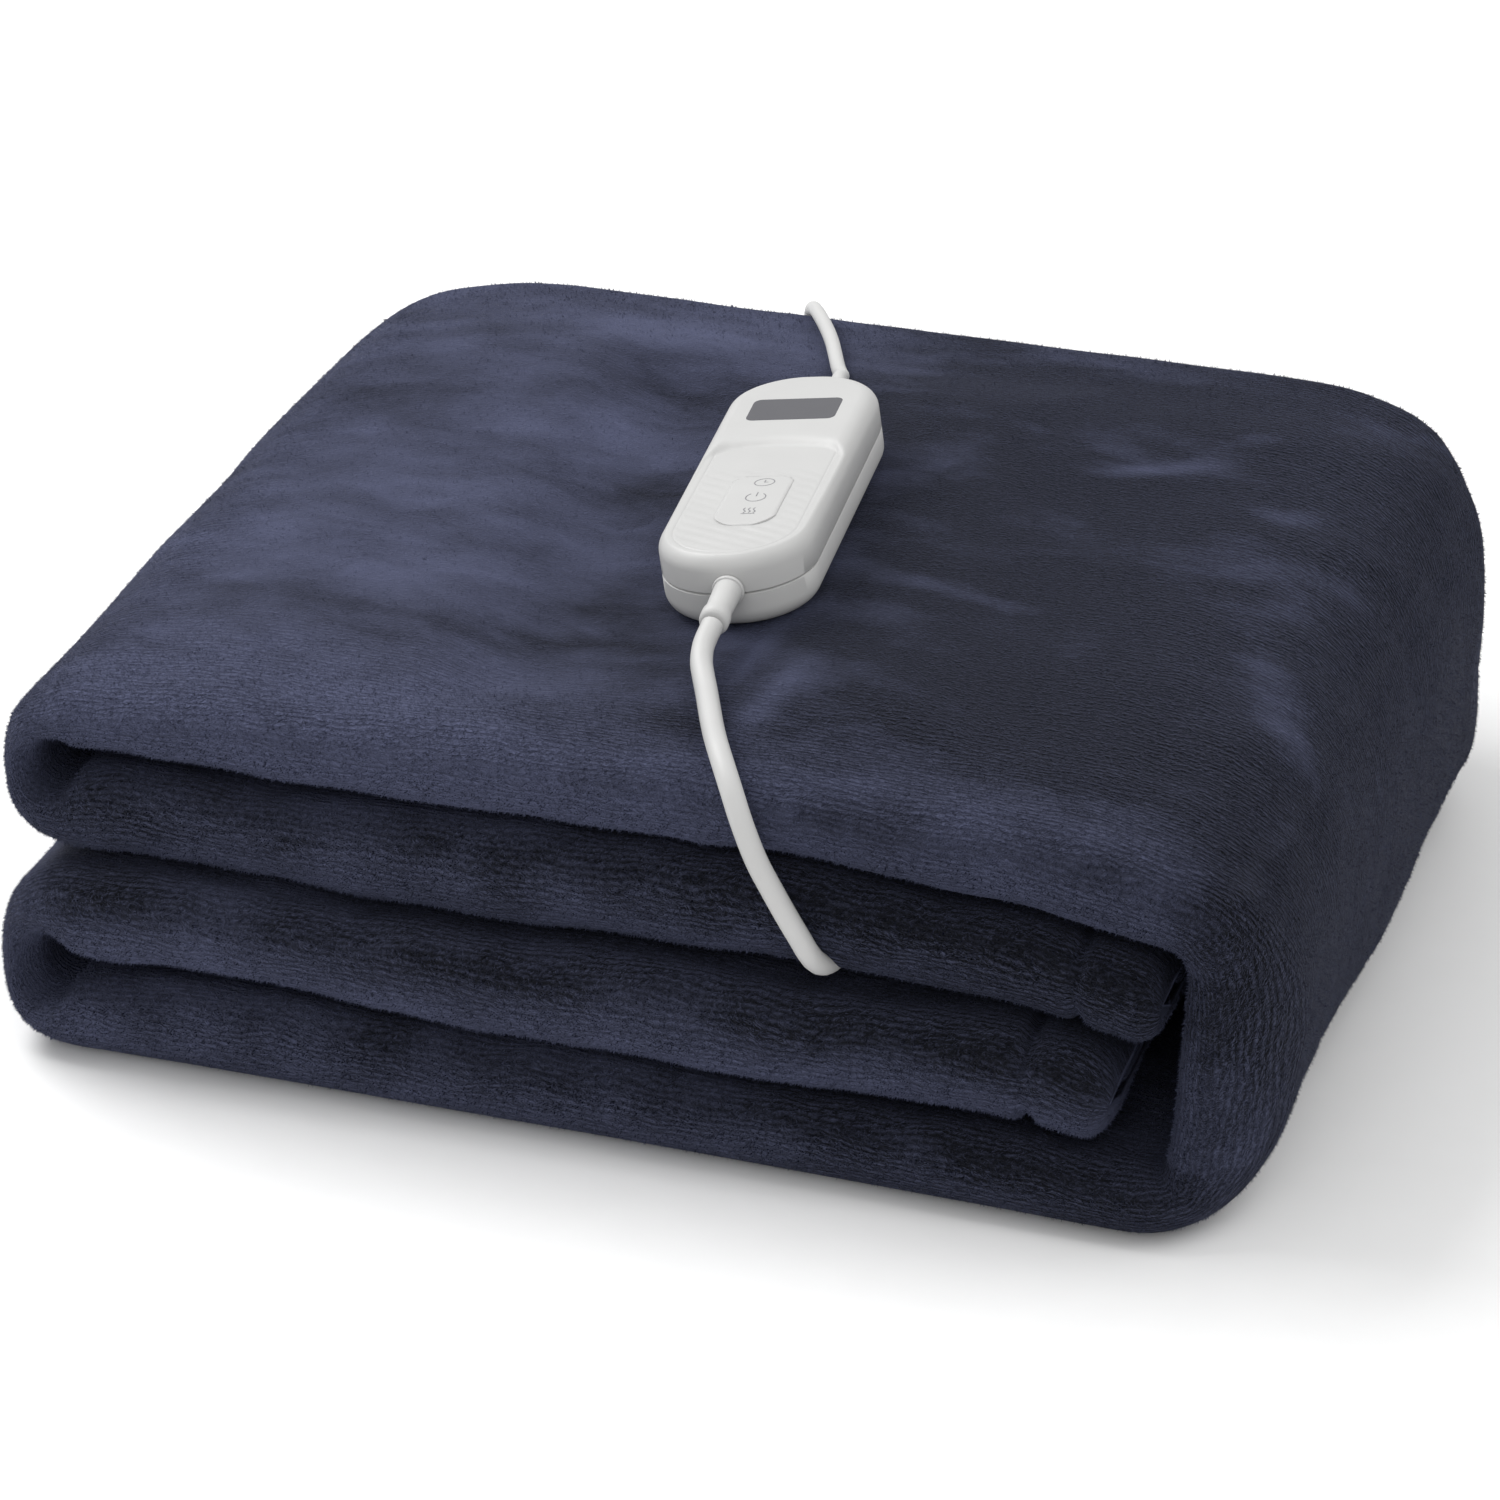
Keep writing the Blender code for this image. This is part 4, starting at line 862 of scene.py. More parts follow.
def plush_material():
    material = new_material("navy_plush_pile")
    tree = material.node_tree
    look = add_node(tree, "Attribute", "Color", {}, attribute_name="look")
    lightness = add_node(tree, "SeparateColor", "Red", {"Color": look})
    rowed = lightness.node.outputs["Green"]
    cloth = add_node(tree, "UVMap", "UV", {}, uv_map="cloth")
    across = add_node(tree, "SeparateXYZ", "Y", {"Vector": cloth})

    def maths(operation, a, b=0.0, c=0.0):
        """One step of reckoning: each of a, b and c is a number or another node's output."""
        return add_node(tree, "Math", 0, {0: a, 1: b, 2: c}, operation=operation)

    def stretched(along, across, detail, distortion=0.0):
        """Noise whose patches are 1/along metres long and 1/across metres wide on the cloth."""
        spot = add_node(tree, "Mapping", "Vector", {"Vector": cloth, "Scale": (along, across, 1.0)})
        return noise_on(tree, spot, 1.0, detail, distortion)

    wander = maths("MULTIPLY", stretched(*WANDERING), ROW_WANDER)
    phase = maths("MULTIPLY_ADD", across, 2.0 * math.pi / ROW_PITCH, wander)
    ridges = maths("MULTIPLY_ADD", maths("SINE", phase), 0.5, 0.5)
    broken = spread(tree, stretched(*BREAKS), 0.0, 1.0)
    rows = maths("MULTIPLY", maths("MULTIPLY", ridges, broken), rowed)
    from_middle = maths("ABSOLUTE", maths("SUBTRACT", stretched(*CURLS), 0.5))
    curls = maths("MULTIPLY", from_middle, CURL_HEIGHT)
    curls = maths("MULTIPLY", curls, maths("MULTIPLY_ADD", rowed, 1.0 - OPEN_CURLS, OPEN_CURLS))
    fibres = stretched(*FIBRES)
    pile = maths("MULTIPLY_ADD", rows, ROW_HEIGHT, curls)
    pile = maths("MULTIPLY_ADD", fibres, FIBRE_HEIGHT, pile)
    shade = maths("MULTIPLY_ADD", stretched(*BRUSHED), BRUSHED_TONE, lightness)
    # Painted shade: the pile's rows, curls and fibres darken the colour where the pile is low.
    for layer, share in ((fibres, FIBRE_PAINTED_SHADE), (curls, CURL_PAINTED_SHADE), (rows, ROW_PAINTED_SHADE)):
        shade = maths("MULTIPLY_ADD", layer, share, shade)
    low, high = TONE_RANGE
    tone = add_node(tree, "MapRange", "Result", {
        "Value": shade, "From Min": low, "From Max": high})
    set_inputs(tree, tree.nodes["Principled BSDF"], {
        "Base Color": two_tone(tree, tone, PILE_DARK, PILE_LIGHT),
        "Normal": bump(tree, pile, PILE_DEPTH), **PILE_SHINE,
    })
    return material


throw.data.materials.append(plush_material())
print("plush:", throw.data.materials[0].name)

# %% [markdown]
# ### Fuzz
#
# The pile's tips stand a millimetre out of the cloth, and against a pale background they make its
# edge furry. A bump can't do that, so we add real tips: each is one thin triangle, rooted in the
# cloth and leaning with the nap, as wide as a little bunch of fibres. They stand thickest on the
# lips and at the edges, and none is under the controller or a cord. There are a few hundred
# thousand, so numpy works on all of them at once. Each takes its shading normal from the cloth, so
# that the tips are lit as softly as the plush between them.

# %% Scatter the fuzz
FUZZ_PIECES, FUZZ_COUNT = 3, 120_000  # how many tips each piece has
FUZZ_WIDTH, FUZZ_RISE, FUZZ_LEAN = 0.00030, (0.0004, 0.0011), (0.0003, 0.0011)
FUZZ_ROOT = 0.0002  # how deep a tip's root is in the cloth
NAP_WAY, NAP_SPREAD = np.array((-0.25, -1.0, -0.30)), 0.45
TIP_LIGHTER, TONE_SPREAD, SHADING_SPREAD = 0.25, 0.07, 0.18
# Half the room that the controller takes, below which height it takes none, and a cord's room.
CASE_ROOM, CASE_UNDER, CORD_ROOM = (0.030, 0.098), 0.110, 0.0060
OPEN_SHARE, LIP_SHARE, EDGE_SHARE = 0.12, 0.90, 0.35  # how thickly the tips stand
# How far from the front, and from the sides and the back, that changes.
LIP_SPAN, EDGE_SPAN = (0.020, 0.075), (0.050, 0.010)
LEVEL_FACE, TOP_ABOVE, FLOOR_BELOW = 0.6, 0.112, 0.004
rng = np.random.default_rng(11)


def read_values(values, field, width, kind=np.float32):
    """One field of a Blender collection as rows of numbers."""
    flat = np.empty(len(values) * width, dtype=kind)
    values.foreach_get(field, flat)
    return flat.reshape(-1, width)


def unit(rows):
    return rows / np.linalg.norm(rows, axis=1, keepdims=True)


def ramp(values, low, high):
    """Eased from 0 to 1 between two values, for a whole row of numbers."""
    share = np.clip((values - low) / (high - low), 0.0, 1.0)
    return share * share * (3.0 - 2.0 * share)


def tip_density(centres, normals):
    """How thickly the tips stand: not at all on the floor and where layers hide each other."""
    x, y, z = centres.T
    start, end = LIP_SPAN
    lips = 1.0 - ramp(y, -PACK_DEPTH / 2 + start, -PACK_DEPTH / 2 + end)
    inner, outer = EDGE_SPAN
    sides = ramp(np.abs(x), PACK_WIDTH / 2 - inner, PACK_WIDTH / 2 - outer)
    edges = np.maximum(sides, ramp(y, PACK_DEPTH / 2 - inner, PACK_DEPTH / 2 - outer))
    level = np.abs(normals[:, 2]) > LEVEL_FACE
    hidden = level & (z < TOP_ABOVE) & (y > -PACK_DEPTH / 2 + start)
    shown = OPEN_SHARE + LIP_SHARE * lips + EDGE_SHARE * edges
    return np.where(hidden | (z < FLOOR_BELOW), 0.0, shown)


def clear_of_controls(points):
    """True where no part of the controller and no cord lies on the cloth."""
    flat = points - np.array(CONTROLLER_PLACE)
    turn = np.array(Matrix.Rotation(-CONTROLLER_YAW, 3, "Z"))
    local = flat @ turn.T
    free = (np.abs(local[:, :2]) > np.array(CASE_ROOM)).any(axis=1) | (points[:, 2] < CASE_UNDER)
    for place in cord_points:
        free &= np.linalg.norm(points - np.array(place), axis=1) > CORD_ROOM
    return free


def scatter_tips(name, corners, loops, chances):
    """One mesh of tips, each on a triangle of the cloth picked by chance."""
    picked = rng.choice(len(corners), FUZZ_COUNT, p=chances)
    shares = rng.dirichlet((1.0, 1.0, 1.0), FUZZ_COUNT)[:, :, None]
    root = (cloth_places[corners[picked]] * shares).sum(axis=1)
    out = unit((cloth_normals[corners[picked]] * shares).sum(axis=1))
    shown = (cloth_look[corners[picked]] * shares).sum(axis=1)
    spot = (cloth_uv[loops[picked]] * shares).sum(axis=1)
    free = clear_of_controls(root)
    root, out, shown, spot = root[free], out[free], shown[free], spot[free]
    count = len(root)
    way = NAP_WAY + rng.normal(0.0, NAP_SPREAD, (count, 3))
    way = unit(way - out * (way * out).sum(axis=1, keepdims=True))
    side = np.cross(way, out) * FUZZ_WIDTH / 2
    tip = root + out * rng.uniform(*FUZZ_RISE, (count, 1))
    tip = tip + way * rng.uniform(*FUZZ_LEAN, (count, 1))
    low = root - out * FUZZ_ROOT
    points = np.stack((low - side, low + side, tip), axis=1).reshape(-1, 3)
    mesh = bpy.data.meshes.new(name)
    mesh.from_pydata(points.tolist(), [], np.arange(3 * count).reshape(-1, 3)[:, ::-1].tolist())
    uv = mesh.uv_layers.new(name="cloth")
    uv.data.foreach_set("uv", np.repeat(spot, 3, axis=0).ravel())
    look = np.zeros((count, 3, 4), dtype=np.float32)
    change = rng.normal(0.0, TONE_SPREAD, (count, 1))
    look[:, :, 0] = shown[:, None, 0] + np.array((0.0, 0.0, TIP_LIGHTER)) + change
    look[:, :, 1] = shown[:, None, 1]
    mesh.attributes.new("look", "FLOAT_COLOR", "POINT").data.foreach_set("color", look.ravel())
    soft = unit(out + rng.normal(0.0, SHADING_SPREAD, (count, 3)))
    mesh.normals_split_custom_set_from_vertices(np.repeat(soft, 3, axis=0).tolist())
    mesh.materials.append(throw.data.materials[0])
    piece = new_object(name, mesh)
    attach(piece, "root")
    return piece


throw.data.calc_loop_triangles()
triangles = throw.data.loop_triangles
corners = read_values(triangles, "vertices", 3, np.int32)
loops = read_values(triangles, "loops", 3, np.int32)
cloth_places = read_values(throw.data.vertices, "co", 3)
cloth_normals = read_values(throw.data.vertex_normals, "vector", 3)
cloth_look = read_values(throw.data.attributes["look"].data, "color", 4)
cloth_uv = read_values(throw.data.uv_layers["cloth"].data, "uv", 2)
weights = read_values(triangles, "area", 1)[:, 0].astype(np.float64)
weights *= tip_density(cloth_places[corners].mean(axis=1), cloth_normals[corners].mean(axis=1))
chances = weights / weights.sum()
fuzz = [
    scatter_tips("fuzz_" + str(number), corners, loops, chances)
    for number in range(1, FUZZ_PIECES + 1)
]
print("fuzz:", [len(piece.data.polygons) for piece in fuzz], "tips")

# %% [markdown]
# ## The controller
#
# The hand controller is a smooth white case, 142 mm long, round at both ends. Its cover and its
# base meet in a fine groove half way up. Both start as a flat plate with round corners, which is
# inset again and again: that gives rings that all keep the case's outline, close together, like the
# contour lines of a map. Then each point is lifted to the height that the case has there.
#
# We build it lying level round the origin, and put all its pieces in their place together later.

# %% Start a plate with round corners
def work_on(piece):
    bpy.ops.object.select_all(action="DESELECT")
    piece.select_set(True)
    bpy.context.view_layer.objects.active = piece


def select_where(piece, kind, wanted):
    """In edit mode, selects the points or edges (VERT or EDGE) that a test picks."""
    bpy.ops.mesh.select_mode(type=kind)
    bpy.ops.mesh.select_all(action="DESELECT")
    mesh = bmesh.from_edit_mesh(piece.data)
    for element in mesh.verts if kind == "VERT" else mesh.edges:
        element.select = wanted(element)
    mesh.select_flush_mode()
    bmesh.update_edit_mesh(piece.data)


def start_plate(name, width, length, corner, far_corner, steps, side_cuts=0):
    """A flat plate with round corners, left in edit mode with its one face selected."""
    bpy.ops.mesh.primitive_plane_add(size=1.0)
    plate = bpy.context.object
    plate.name = plate.data.name = name
    bpy.ops.object.mode_set(mode="EDIT")
    bpy.ops.transform.resize(value=(width, length, 1.0))
    select_where(plate, "VERT", lambda vertex: vertex.co.y < 0)
    bpy.ops.mesh.bevel(offset=corner, segments=steps, affect="VERTICES")
    select_where(plate, "VERT", lambda vertex: vertex.co.y > length / 2 - 0.0001)
    bpy.ops.mesh.bevel(offset=far_corner, segments=steps, affect="VERTICES")
    if side_cuts:
        select_where(plate, "EDGE", lambda edge: edge.calc_length() > length / 3)
        bpy.ops.mesh.subdivide(number_cuts=side_cuts)
    bpy.ops.mesh.select_mode(type="FACE")
    bpy.ops.mesh.select_all(action="SELECT")
    return plate


def inset_rings(insets):
    """Insets the selected face to each distance from its outline in turn."""
    before = 0.0
    for inset in insets:
        bpy.ops.mesh.inset(thickness=inset - before, depth=0.0)
        before = inset


def cut_across(spacing, reach):
    """Cuts straight across a plate at even steps along Y, so that it can follow a height there."""
    for i in range(int(-reach / spacing) + 1, int(reach / spacing)):
        bpy.ops.mesh.select_all(action="SELECT")
        bpy.ops.mesh.bisect(plane_co=(0.0, i * spacing, 0.0), plane_no=(0.0, 1.0, 0.0))


def lift_points(piece, height):
    bpy.ops.object.mode_set(mode="OBJECT")
    for vertex in piece.data.vertices:
        vertex.co.z = height(vertex.co.x, vertex.co.y)


def face_outwards():
    """Turns the edited mesh's faces outwards, and leaves edit mode."""
    bpy.ops.mesh.select_all(action="SELECT")
    bpy.ops.mesh.normals_make_consistent(inside=False)
    bpy.ops.object.mode_set(mode="OBJECT")


def smooth_below(degrees):
    bpy.ops.object.shade_smooth_by_angle(angle=math.radians(degrees))


def close_wall(piece, steps):
    """Pulls the open outline up or down by each (height, scale) in turn, and closes the end."""
    work_on(piece)
    bpy.ops.object.mode_set(mode="EDIT")
    bpy.ops.mesh.select_mode(type="EDGE")
    bpy.ops.mesh.select_all(action="DESELECT")
    bpy.ops.mesh.select_non_manifold()
    for height, scale in steps:
        bpy.ops.mesh.extrude_edges_move(TRANSFORM_OT_translate={"value": (0.0, 0.0, height)})
        bpy.ops.transform.resize(value=(scale, scale, 1.0), center_override=(0.0, 0.0, 0.0))
    bpy.ops.mesh.edge_face_add()
    face_outwards()
    smooth_below(50)

# %% [markdown]
# ### The cover
#
# The cover's edge is rounded by 6 mm. From the display, the top steps down in a soft bow to a sunk
# panel, which rises again towards the near end. A fine groove runs inside the panel's rim, and low
# slanting ribs give the thumb a grip. All of that is one height for each place on the plate, so it
# is written as one function, feature by feature.

# %% Shape the cover
EDGE_ROUND, CORNER = 0.0060, 0.0235
PARTING = 0.0125  # how high up the cover and the base meet
RIM_HEIGHT, RIM_SCALE = 0.0003, 0.992  # the tiny step inwards where the two halves meet
FAR_DROP, FAR_START, FAR_RUN = 0.0010, 0.0490, 0.022  # how the top falls away past the display
# The step's place, its bow towards the display, its length, and how wide its ends turn down.
STEP_Y, STEP_BOW, STEP_RUN, STEP_END = 0.0100, 0.0050, 0.0050, 0.16
STEP_POWER = 2.2  # steep at the step's foot, soft at its upper edge
PANEL_MARGIN, PANEL_RIM, PANEL_DEPTH, PANEL_SLOPE = 0.0022, 0.0012, 0.0020, 0.0170
RIB_PITCH, RIB_SLANT, RIB_DEPTH = 0.0044, math.radians(30.0), 0.00011
RIB_CLEAR, RIB_FADE, RIB_START, RIB_RUN = 0.0006, 0.0010, -0.002, 0.006
RIB_FLATNESS = 1.6  # above 1 it cuts the wave's crests and troughs off flat
GROOVE_INSET, GROOVE_WIDTH, GROOVE_DEPTH, GROOVE_END = 0.0050, 0.00030, 0.00022, 0.002
PAD_SIZE, PAD_CENTRE, PAD_PROUD = (0.0200, 0.0370), (0.0010, -0.0275), 0.0006
PAD_CORNER = 0.006


def plate_inset(x, y, width, length, corner):
    """How far a place is inside a plate's outline."""
    across, along = abs(x) - (width / 2 - corner), abs(y) - (length / 2 - corner)
    outside = math.hypot(max(across, 0.0), max(along, 0.0))
    return corner - outside - min(max(across, along), 0.0)


def panel_height(y):
    return CONTROLLER_SIZE.z - PANEL_DEPTH + (STEP_Y - y) * PANEL_SLOPE


def rib_height(x, y, inset):
    """The slanting ribs, which fade out at the pad, at the groove and towards the step."""
    across = x * math.sin(RIB_SLANT) + y * math.cos(RIB_SLANT)
    wave = math.cos(2.0 * math.pi * across / RIB_PITCH)
    pad = -plate_inset(x - PAD_CENTRE[0], y - PAD_CENTRE[1], *PAD_SIZE, PAD_CORNER)
    room = ease((inset - GROOVE_INSET - RIB_CLEAR) / RIB_FADE) * ease((pad - RIB_CLEAR) / RIB_FADE)
    crest = max(min(RIB_FLATNESS * wave, 1.0), -1.0)
    return RIB_DEPTH * crest * room * ease((RIB_START - y) / RIB_RUN)


def cover_height(x, y):
    inset = plate_inset(x, y, CONTROLLER_SIZE.x, CONTROLLER_SIZE.y, CORNER)
    top = CONTROLLER_SIZE.z - EDGE_ROUND * rounded_off(inset, EDGE_ROUND)
    top -= FAR_DROP * ease((y - FAR_START) / FAR_RUN)
    half = CONTROLLER_SIZE.x / 2 - PANEL_MARGIN
    end = max(1.0 - (1.0 - abs(x) / half) / 2 / STEP_END, 0.0)
    foot = STEP_Y + STEP_BOW * (1.0 - (x / half) ** 2) - STEP_RUN * end * end
    climb = min(max((y - foot) / STEP_RUN, 0.0), 1.0)
    down = (1.0 - climb) ** STEP_POWER
    rim = ease((inset - PANEL_MARGIN + PANEL_RIM / 2) / PANEL_RIM)
    groove = GROOVE_DEPTH * math.exp(-(((inset - GROOVE_INSET) / GROOVE_WIDTH) ** 2))
    groove *= ease((foot + GROOVE_END / 2 - y) / GROOVE_END)
    panel = panel_height(y) - groove + rib_height(x, y, inset)
    return mix(top, min(top, panel), down * rim)


def round_insets(radius, angles):
    """Where rings lie that divide a rounded edge at these angles, in degrees."""
    return [radius * (1.0 - math.cos(math.radians(angle))) for angle in angles]


groove_insets = [0.0027, 0.0031, 0.0036, 0.0042, 0.0046, 0.0048, 0.0050, 0.0052, 0.0054, 0.0058]
flat_insets = [0.0062 + 0.0006 * i for i in range(28)]
cover = start_plate(
    "controller_top", CONTROLLER_SIZE.x, CONTROLLER_SIZE.y, CORNER, CORNER, 40, 130)
inset_rings(round_insets(EDGE_ROUND, (12, 22, 32, 40, 47, 53)) + groove_insets + flat_insets)
lift_points(cover, cover_height)
wall = CONTROLLER_SIZE.z - EDGE_ROUND - PARTING
close_wall(cover, ((RIM_HEIGHT - wall, 1.0), (-RIM_HEIGHT, RIM_SCALE)))
print("cover:", len(cover.data.polygons), "faces")

# %% Shape the base
BASE_ROUND = 0.0065


def base_height(x, y):
    inset = plate_inset(x, y, CONTROLLER_SIZE.x, CONTROLLER_SIZE.y, CORNER)
    return BASE_ROUND * rounded_off(inset, BASE_ROUND)


base = start_plate(
    "controller_bottom", CONTROLLER_SIZE.x, CONTROLLER_SIZE.y, CORNER, CORNER, 32, 40)
inset_rings(round_insets(BASE_ROUND, (12, 24, 36, 48, 60, 72, 90)))
lift_points(base, base_height)
wall = PARTING - SEAM_GAP - BASE_ROUND
close_wall(base, ((wall - RIM_HEIGHT, 1.0), (RIM_HEIGHT, RIM_SCALE)))
print("base:", len(base.data.polygons), "faces")

# %% [markdown]
# ### The display and the key pad
#
# The display is a flush grey window with round corners. The key pad is a soft rubber pad whose near
# edge is rounder than its far one and which fades out level with the panel at its far end. Both
# start as plates too. The three symbols on the pad are generic ones, for time, power and heat,
# printed as thin raised lines: each is a thin curve with a round bevel, made a mesh before it is
# placed.

# %% Make the display window
DISPLAY_SIZE, DISPLAY_Y, DISPLAY_CORNER = (0.0296, 0.0164), 0.0388, 0.0026
DISPLAY_PROUD = 0.00006
window = start_plate("display_glass", *DISPLAY_SIZE, DISPLAY_CORNER, DISPLAY_CORNER, 8)
inset_rings([0.00015, 0.0005])
lift_points(window, lambda x, y: CONTROLLER_SIZE.z)
for vertex in window.data.vertices:
    inset = plate_inset(vertex.co.x, vertex.co.y, *DISPLAY_SIZE, DISPLAY_CORNER)
    vertex.co.y += DISPLAY_Y
    proud = DISPLAY_PROUD if inset > 0.0001 else 0.0
    vertex.co.z = cover_height(vertex.co.x, vertex.co.y) + proud
close_wall(window, ((-0.0010, 1.0),))

# %% Make the key pad
PAD_EDGE = 0.0008
PAD_FADE_START, PAD_FADE_RUN, PAD_FADE = 0.0080, 0.0100, 0.8
PAD_BOW = 0.0010


def pad_height(x, y):
    """The pad's top, which fades into the panel at its far end."""
    inset = plate_inset(x, y, *PAD_SIZE, PAD_CORNER)
    edge = math.sqrt(min(max(inset / PAD_EDGE, 0.0), 1.0))
    fade = 1.0 - PAD_FADE * ease((y - PAD_FADE_START) / PAD_FADE_RUN)
    return panel_height(y + PAD_CENTRE[1]) + PAD_PROUD * edge * fade


pad = start_plate("rubber_pad", *PAD_SIZE, 0.0078, 0.0045, 14, 60)
inset_rings([0.0001, 0.0003, 0.0006, 0.0010, 0.0016, 0.0024])
cut_across(0.0010, PAD_SIZE[1] / 2)
lift_points(pad, pad_height)
close_wall(pad, ((-0.0012, 1.0),))
for vertex in pad.data.vertices:
    across, near = vertex.co.x / (PAD_SIZE[0] / 2), ease(-vertex.co.y / (PAD_SIZE[1] / 2))
    bow = PAD_BOW * (1.0 - across ** 2) * near
    vertex.co += Vector((PAD_CENTRE[0], PAD_CENTRE[1] - bow, 0.0))
print("window and pad:", len(window.data.polygons), len(pad.data.polygons), "faces")

# %% Draw the symbols
STROKE, STROKE_ROUNDING = 0.00024, 2
WAVE_SWING, WAVE_STEPS = 0.00045, 12


def arc_line(centre, radius, start, end, steps=28):
    angles = [math.radians(mix(start, end, i / steps)) for i in range(steps + 1)]
    return [(centre[0] + radius * math.cos(a), centre[1] + radius * math.sin(a)) for a in angles]


def wave_line(x, y, length):
    """One wave along Y, round a middle at x, y."""
    points = []
    for i in range(WAVE_STEPS + 1):
        swing = WAVE_SWING * math.sin(2 * math.pi * i / WAVE_STEPS)
        points.append((x + swing, y + length * (i / WAVE_STEPS - 0.5)))
    return points


def on_pad(x, y):
    return (x, y, pad_height(x - PAD_CENTRE[0], y - PAD_CENTRE[1]) - STROKE * 0.5)


def draw_symbol(name, lines):
    """Thin printed lines on the pad, as one mesh."""
    lifted = [[on_pad(x, y) for x, y in line] for line in lines]
    work_on(round_lines(name, lifted, STROKE, STROKE_ROUNDING))
    bpy.ops.object.convert(target="MESH")
    return bpy.context.object


symbols = [
    draw_symbol("symbol_clock", (
        arc_line((0.0018, -0.0146), 0.0032, 0, 360),
        [(0.0018, -0.0146), (0.0018, -0.0128)], [(0.0018, -0.0146), (0.0030, -0.0146)],
    )),
    draw_symbol("symbol_power", (
        arc_line((0.0016, -0.0265), 0.0032, 130, 410),
        [(0.0016, -0.0258), (0.0016, -0.0230)],
    )),
    draw_symbol("symbol_heat", (
        *(wave_line(x, -0.0366, 0.0036) for x in (0.0002, 0.0018, 0.0034)),
        [(-0.0004, -0.0391), (0.0040, -0.0391)],
    )),
]
print("symbols:", [symbol.name for symbol in symbols])

# %% [markdown]
# ### The sleeves
#
# A sleeve stops its cord from bending sharply where it leaves the case. Sleeves are turned shapes,
# so each starts as a circle that is extruded and scaled ring by ring, as on a lathe. The thick
# lead's has a collar and a stepped end ring. Both bend a little under their cord's weight.

# %% Turn the sleeves
# Radius and distance from the case of each ring.
LEAD_SLEEVE = (
    (0.0042, -0.0030), (0.0044, 0.0002), (0.0049, 0.0004), (0.0051, 0.0008), (0.0051, 0.0014),
    (0.0049, 0.0018), (0.0044, 0.0019), (0.0044, 0.0026), (0.0043, 0.0070), (0.0042, 0.0110),
    (0.0041, 0.0144), (0.0041, 0.0149), (0.0046, 0.0151), (0.0047, 0.0155), (0.0047, 0.0182),
    (0.0045, 0.0187), (0.0041, 0.0192), (0.0037, 0.0194),
)
MAINS_SLEEVE = (
    (0.0036, -0.0030), (0.0040, 0.0004), (0.0047, 0.0006), (0.0048, 0.0010), (0.0048, 0.0016),
    (0.0045, 0.0022), (0.0041, 0.0027), (0.0038, 0.0070), (0.0035, 0.0120), (0.0032, 0.0165),
    (0.0030, 0.0196), (0.0027, 0.0200),
)


def turned(name, rings, sides=40):
    """A turned shape along +Z, through (radius, height) rings."""
    radius, height = rings[0]
    bpy.ops.mesh.primitive_circle_add(vertices=sides, radius=radius, location=(0, 0, height))
    piece = bpy.context.object
    piece.name = piece.data.name = name
    bpy.ops.object.transform_apply()
    bpy.ops.object.mode_set(mode="EDIT")
    bpy.ops.mesh.select_all(action="SELECT")
    bpy.ops.mesh.edge_face_add()
    for (before, low), (radius, high) in zip(rings, rings[1:]):
        bpy.ops.mesh.extrude_region_move(TRANSFORM_OT_translate={"value": (0.0, 0.0, high - low)})
        scale = radius / before
        bpy.ops.transform.resize(value=(scale, scale, 1.0), center_override=(0.0, 0.0, high))
    face_outwards()
    smooth_below(38)
    return piece


def make_sleeve(name, rings, exit_point, outward, bend):
    """A sleeve on the case's end wall. Outward is 1 or -1 along Y, and bend moves its tip."""
    sleeve = turned(name, rings)
    for vertex in sleeve.data.vertices:
        x, y, along = vertex.co
        share = max(along / rings[-1][1], 0.0)
        vertex.co = exit_point + Vector((x, outward * along, y)) + bend * share * share
    if outward > 0:  # the turned shape was mirrored, which turned it inside out
        work_on(sleeve)
        bpy.ops.object.mode_set(mode="EDIT")
        face_outwards()
    return sleeve


LEAD_EXIT, LEAD_BEND = Vector((0.0016, -0.071, 0.0142)), Vector((-0.0010, 0.0, -0.0024))
MAINS_EXIT, MAINS_BEND = Vector((0.0032, 0.071, 0.0126)), Vector((-0.0018, 0.0, -0.0020))
lead_sleeve = make_sleeve("lead_sleeve", LEAD_SLEEVE, LEAD_EXIT, -1.0, LEAD_BEND)
mains_sleeve = make_sleeve("mains_sleeve", MAINS_SLEEVE, MAINS_EXIT, 1.0, MAINS_BEND)
print("sleeves:", len(lead_sleeve.data.polygons), len(mains_sleeve.data.polygons), "faces")

# %% [markdown]
# ### Finishes, and the controller's place
#
# The case is satin white ABS with a very fine moulded grain. The pad is softer and duller. The
# window is dark grey tinted plastic. The controller leans 7.5 degrees to the left on the soft
# plush, turned 6 degrees, so all its pieces get that place, and it is then applied, so that it is
# in their meshes.

# %% Finish and place the controller
case_plastic = moulded_material(
    "case_plastic", warm_white(0.475), warm_white(0.51), 0.46, 3200.0, 0.00001)
pad_rubber = moulded_material(
    "pad_rubber", warm_white(0.475), warm_white(0.51), 0.55, 3000.0, 0.00002)
glass_grey = moulded_material(
    "display_tint", (0.070, 0.070, 0.080), (0.085, 0.085, 0.095), 0.22, 900.0, 0.00001)
symbol_ink = moulded_material(
    "symbol_ink", (0.19, 0.19, 0.20), (0.23, 0.23, 0.24), 0.50, 1500.0, 0.00001)

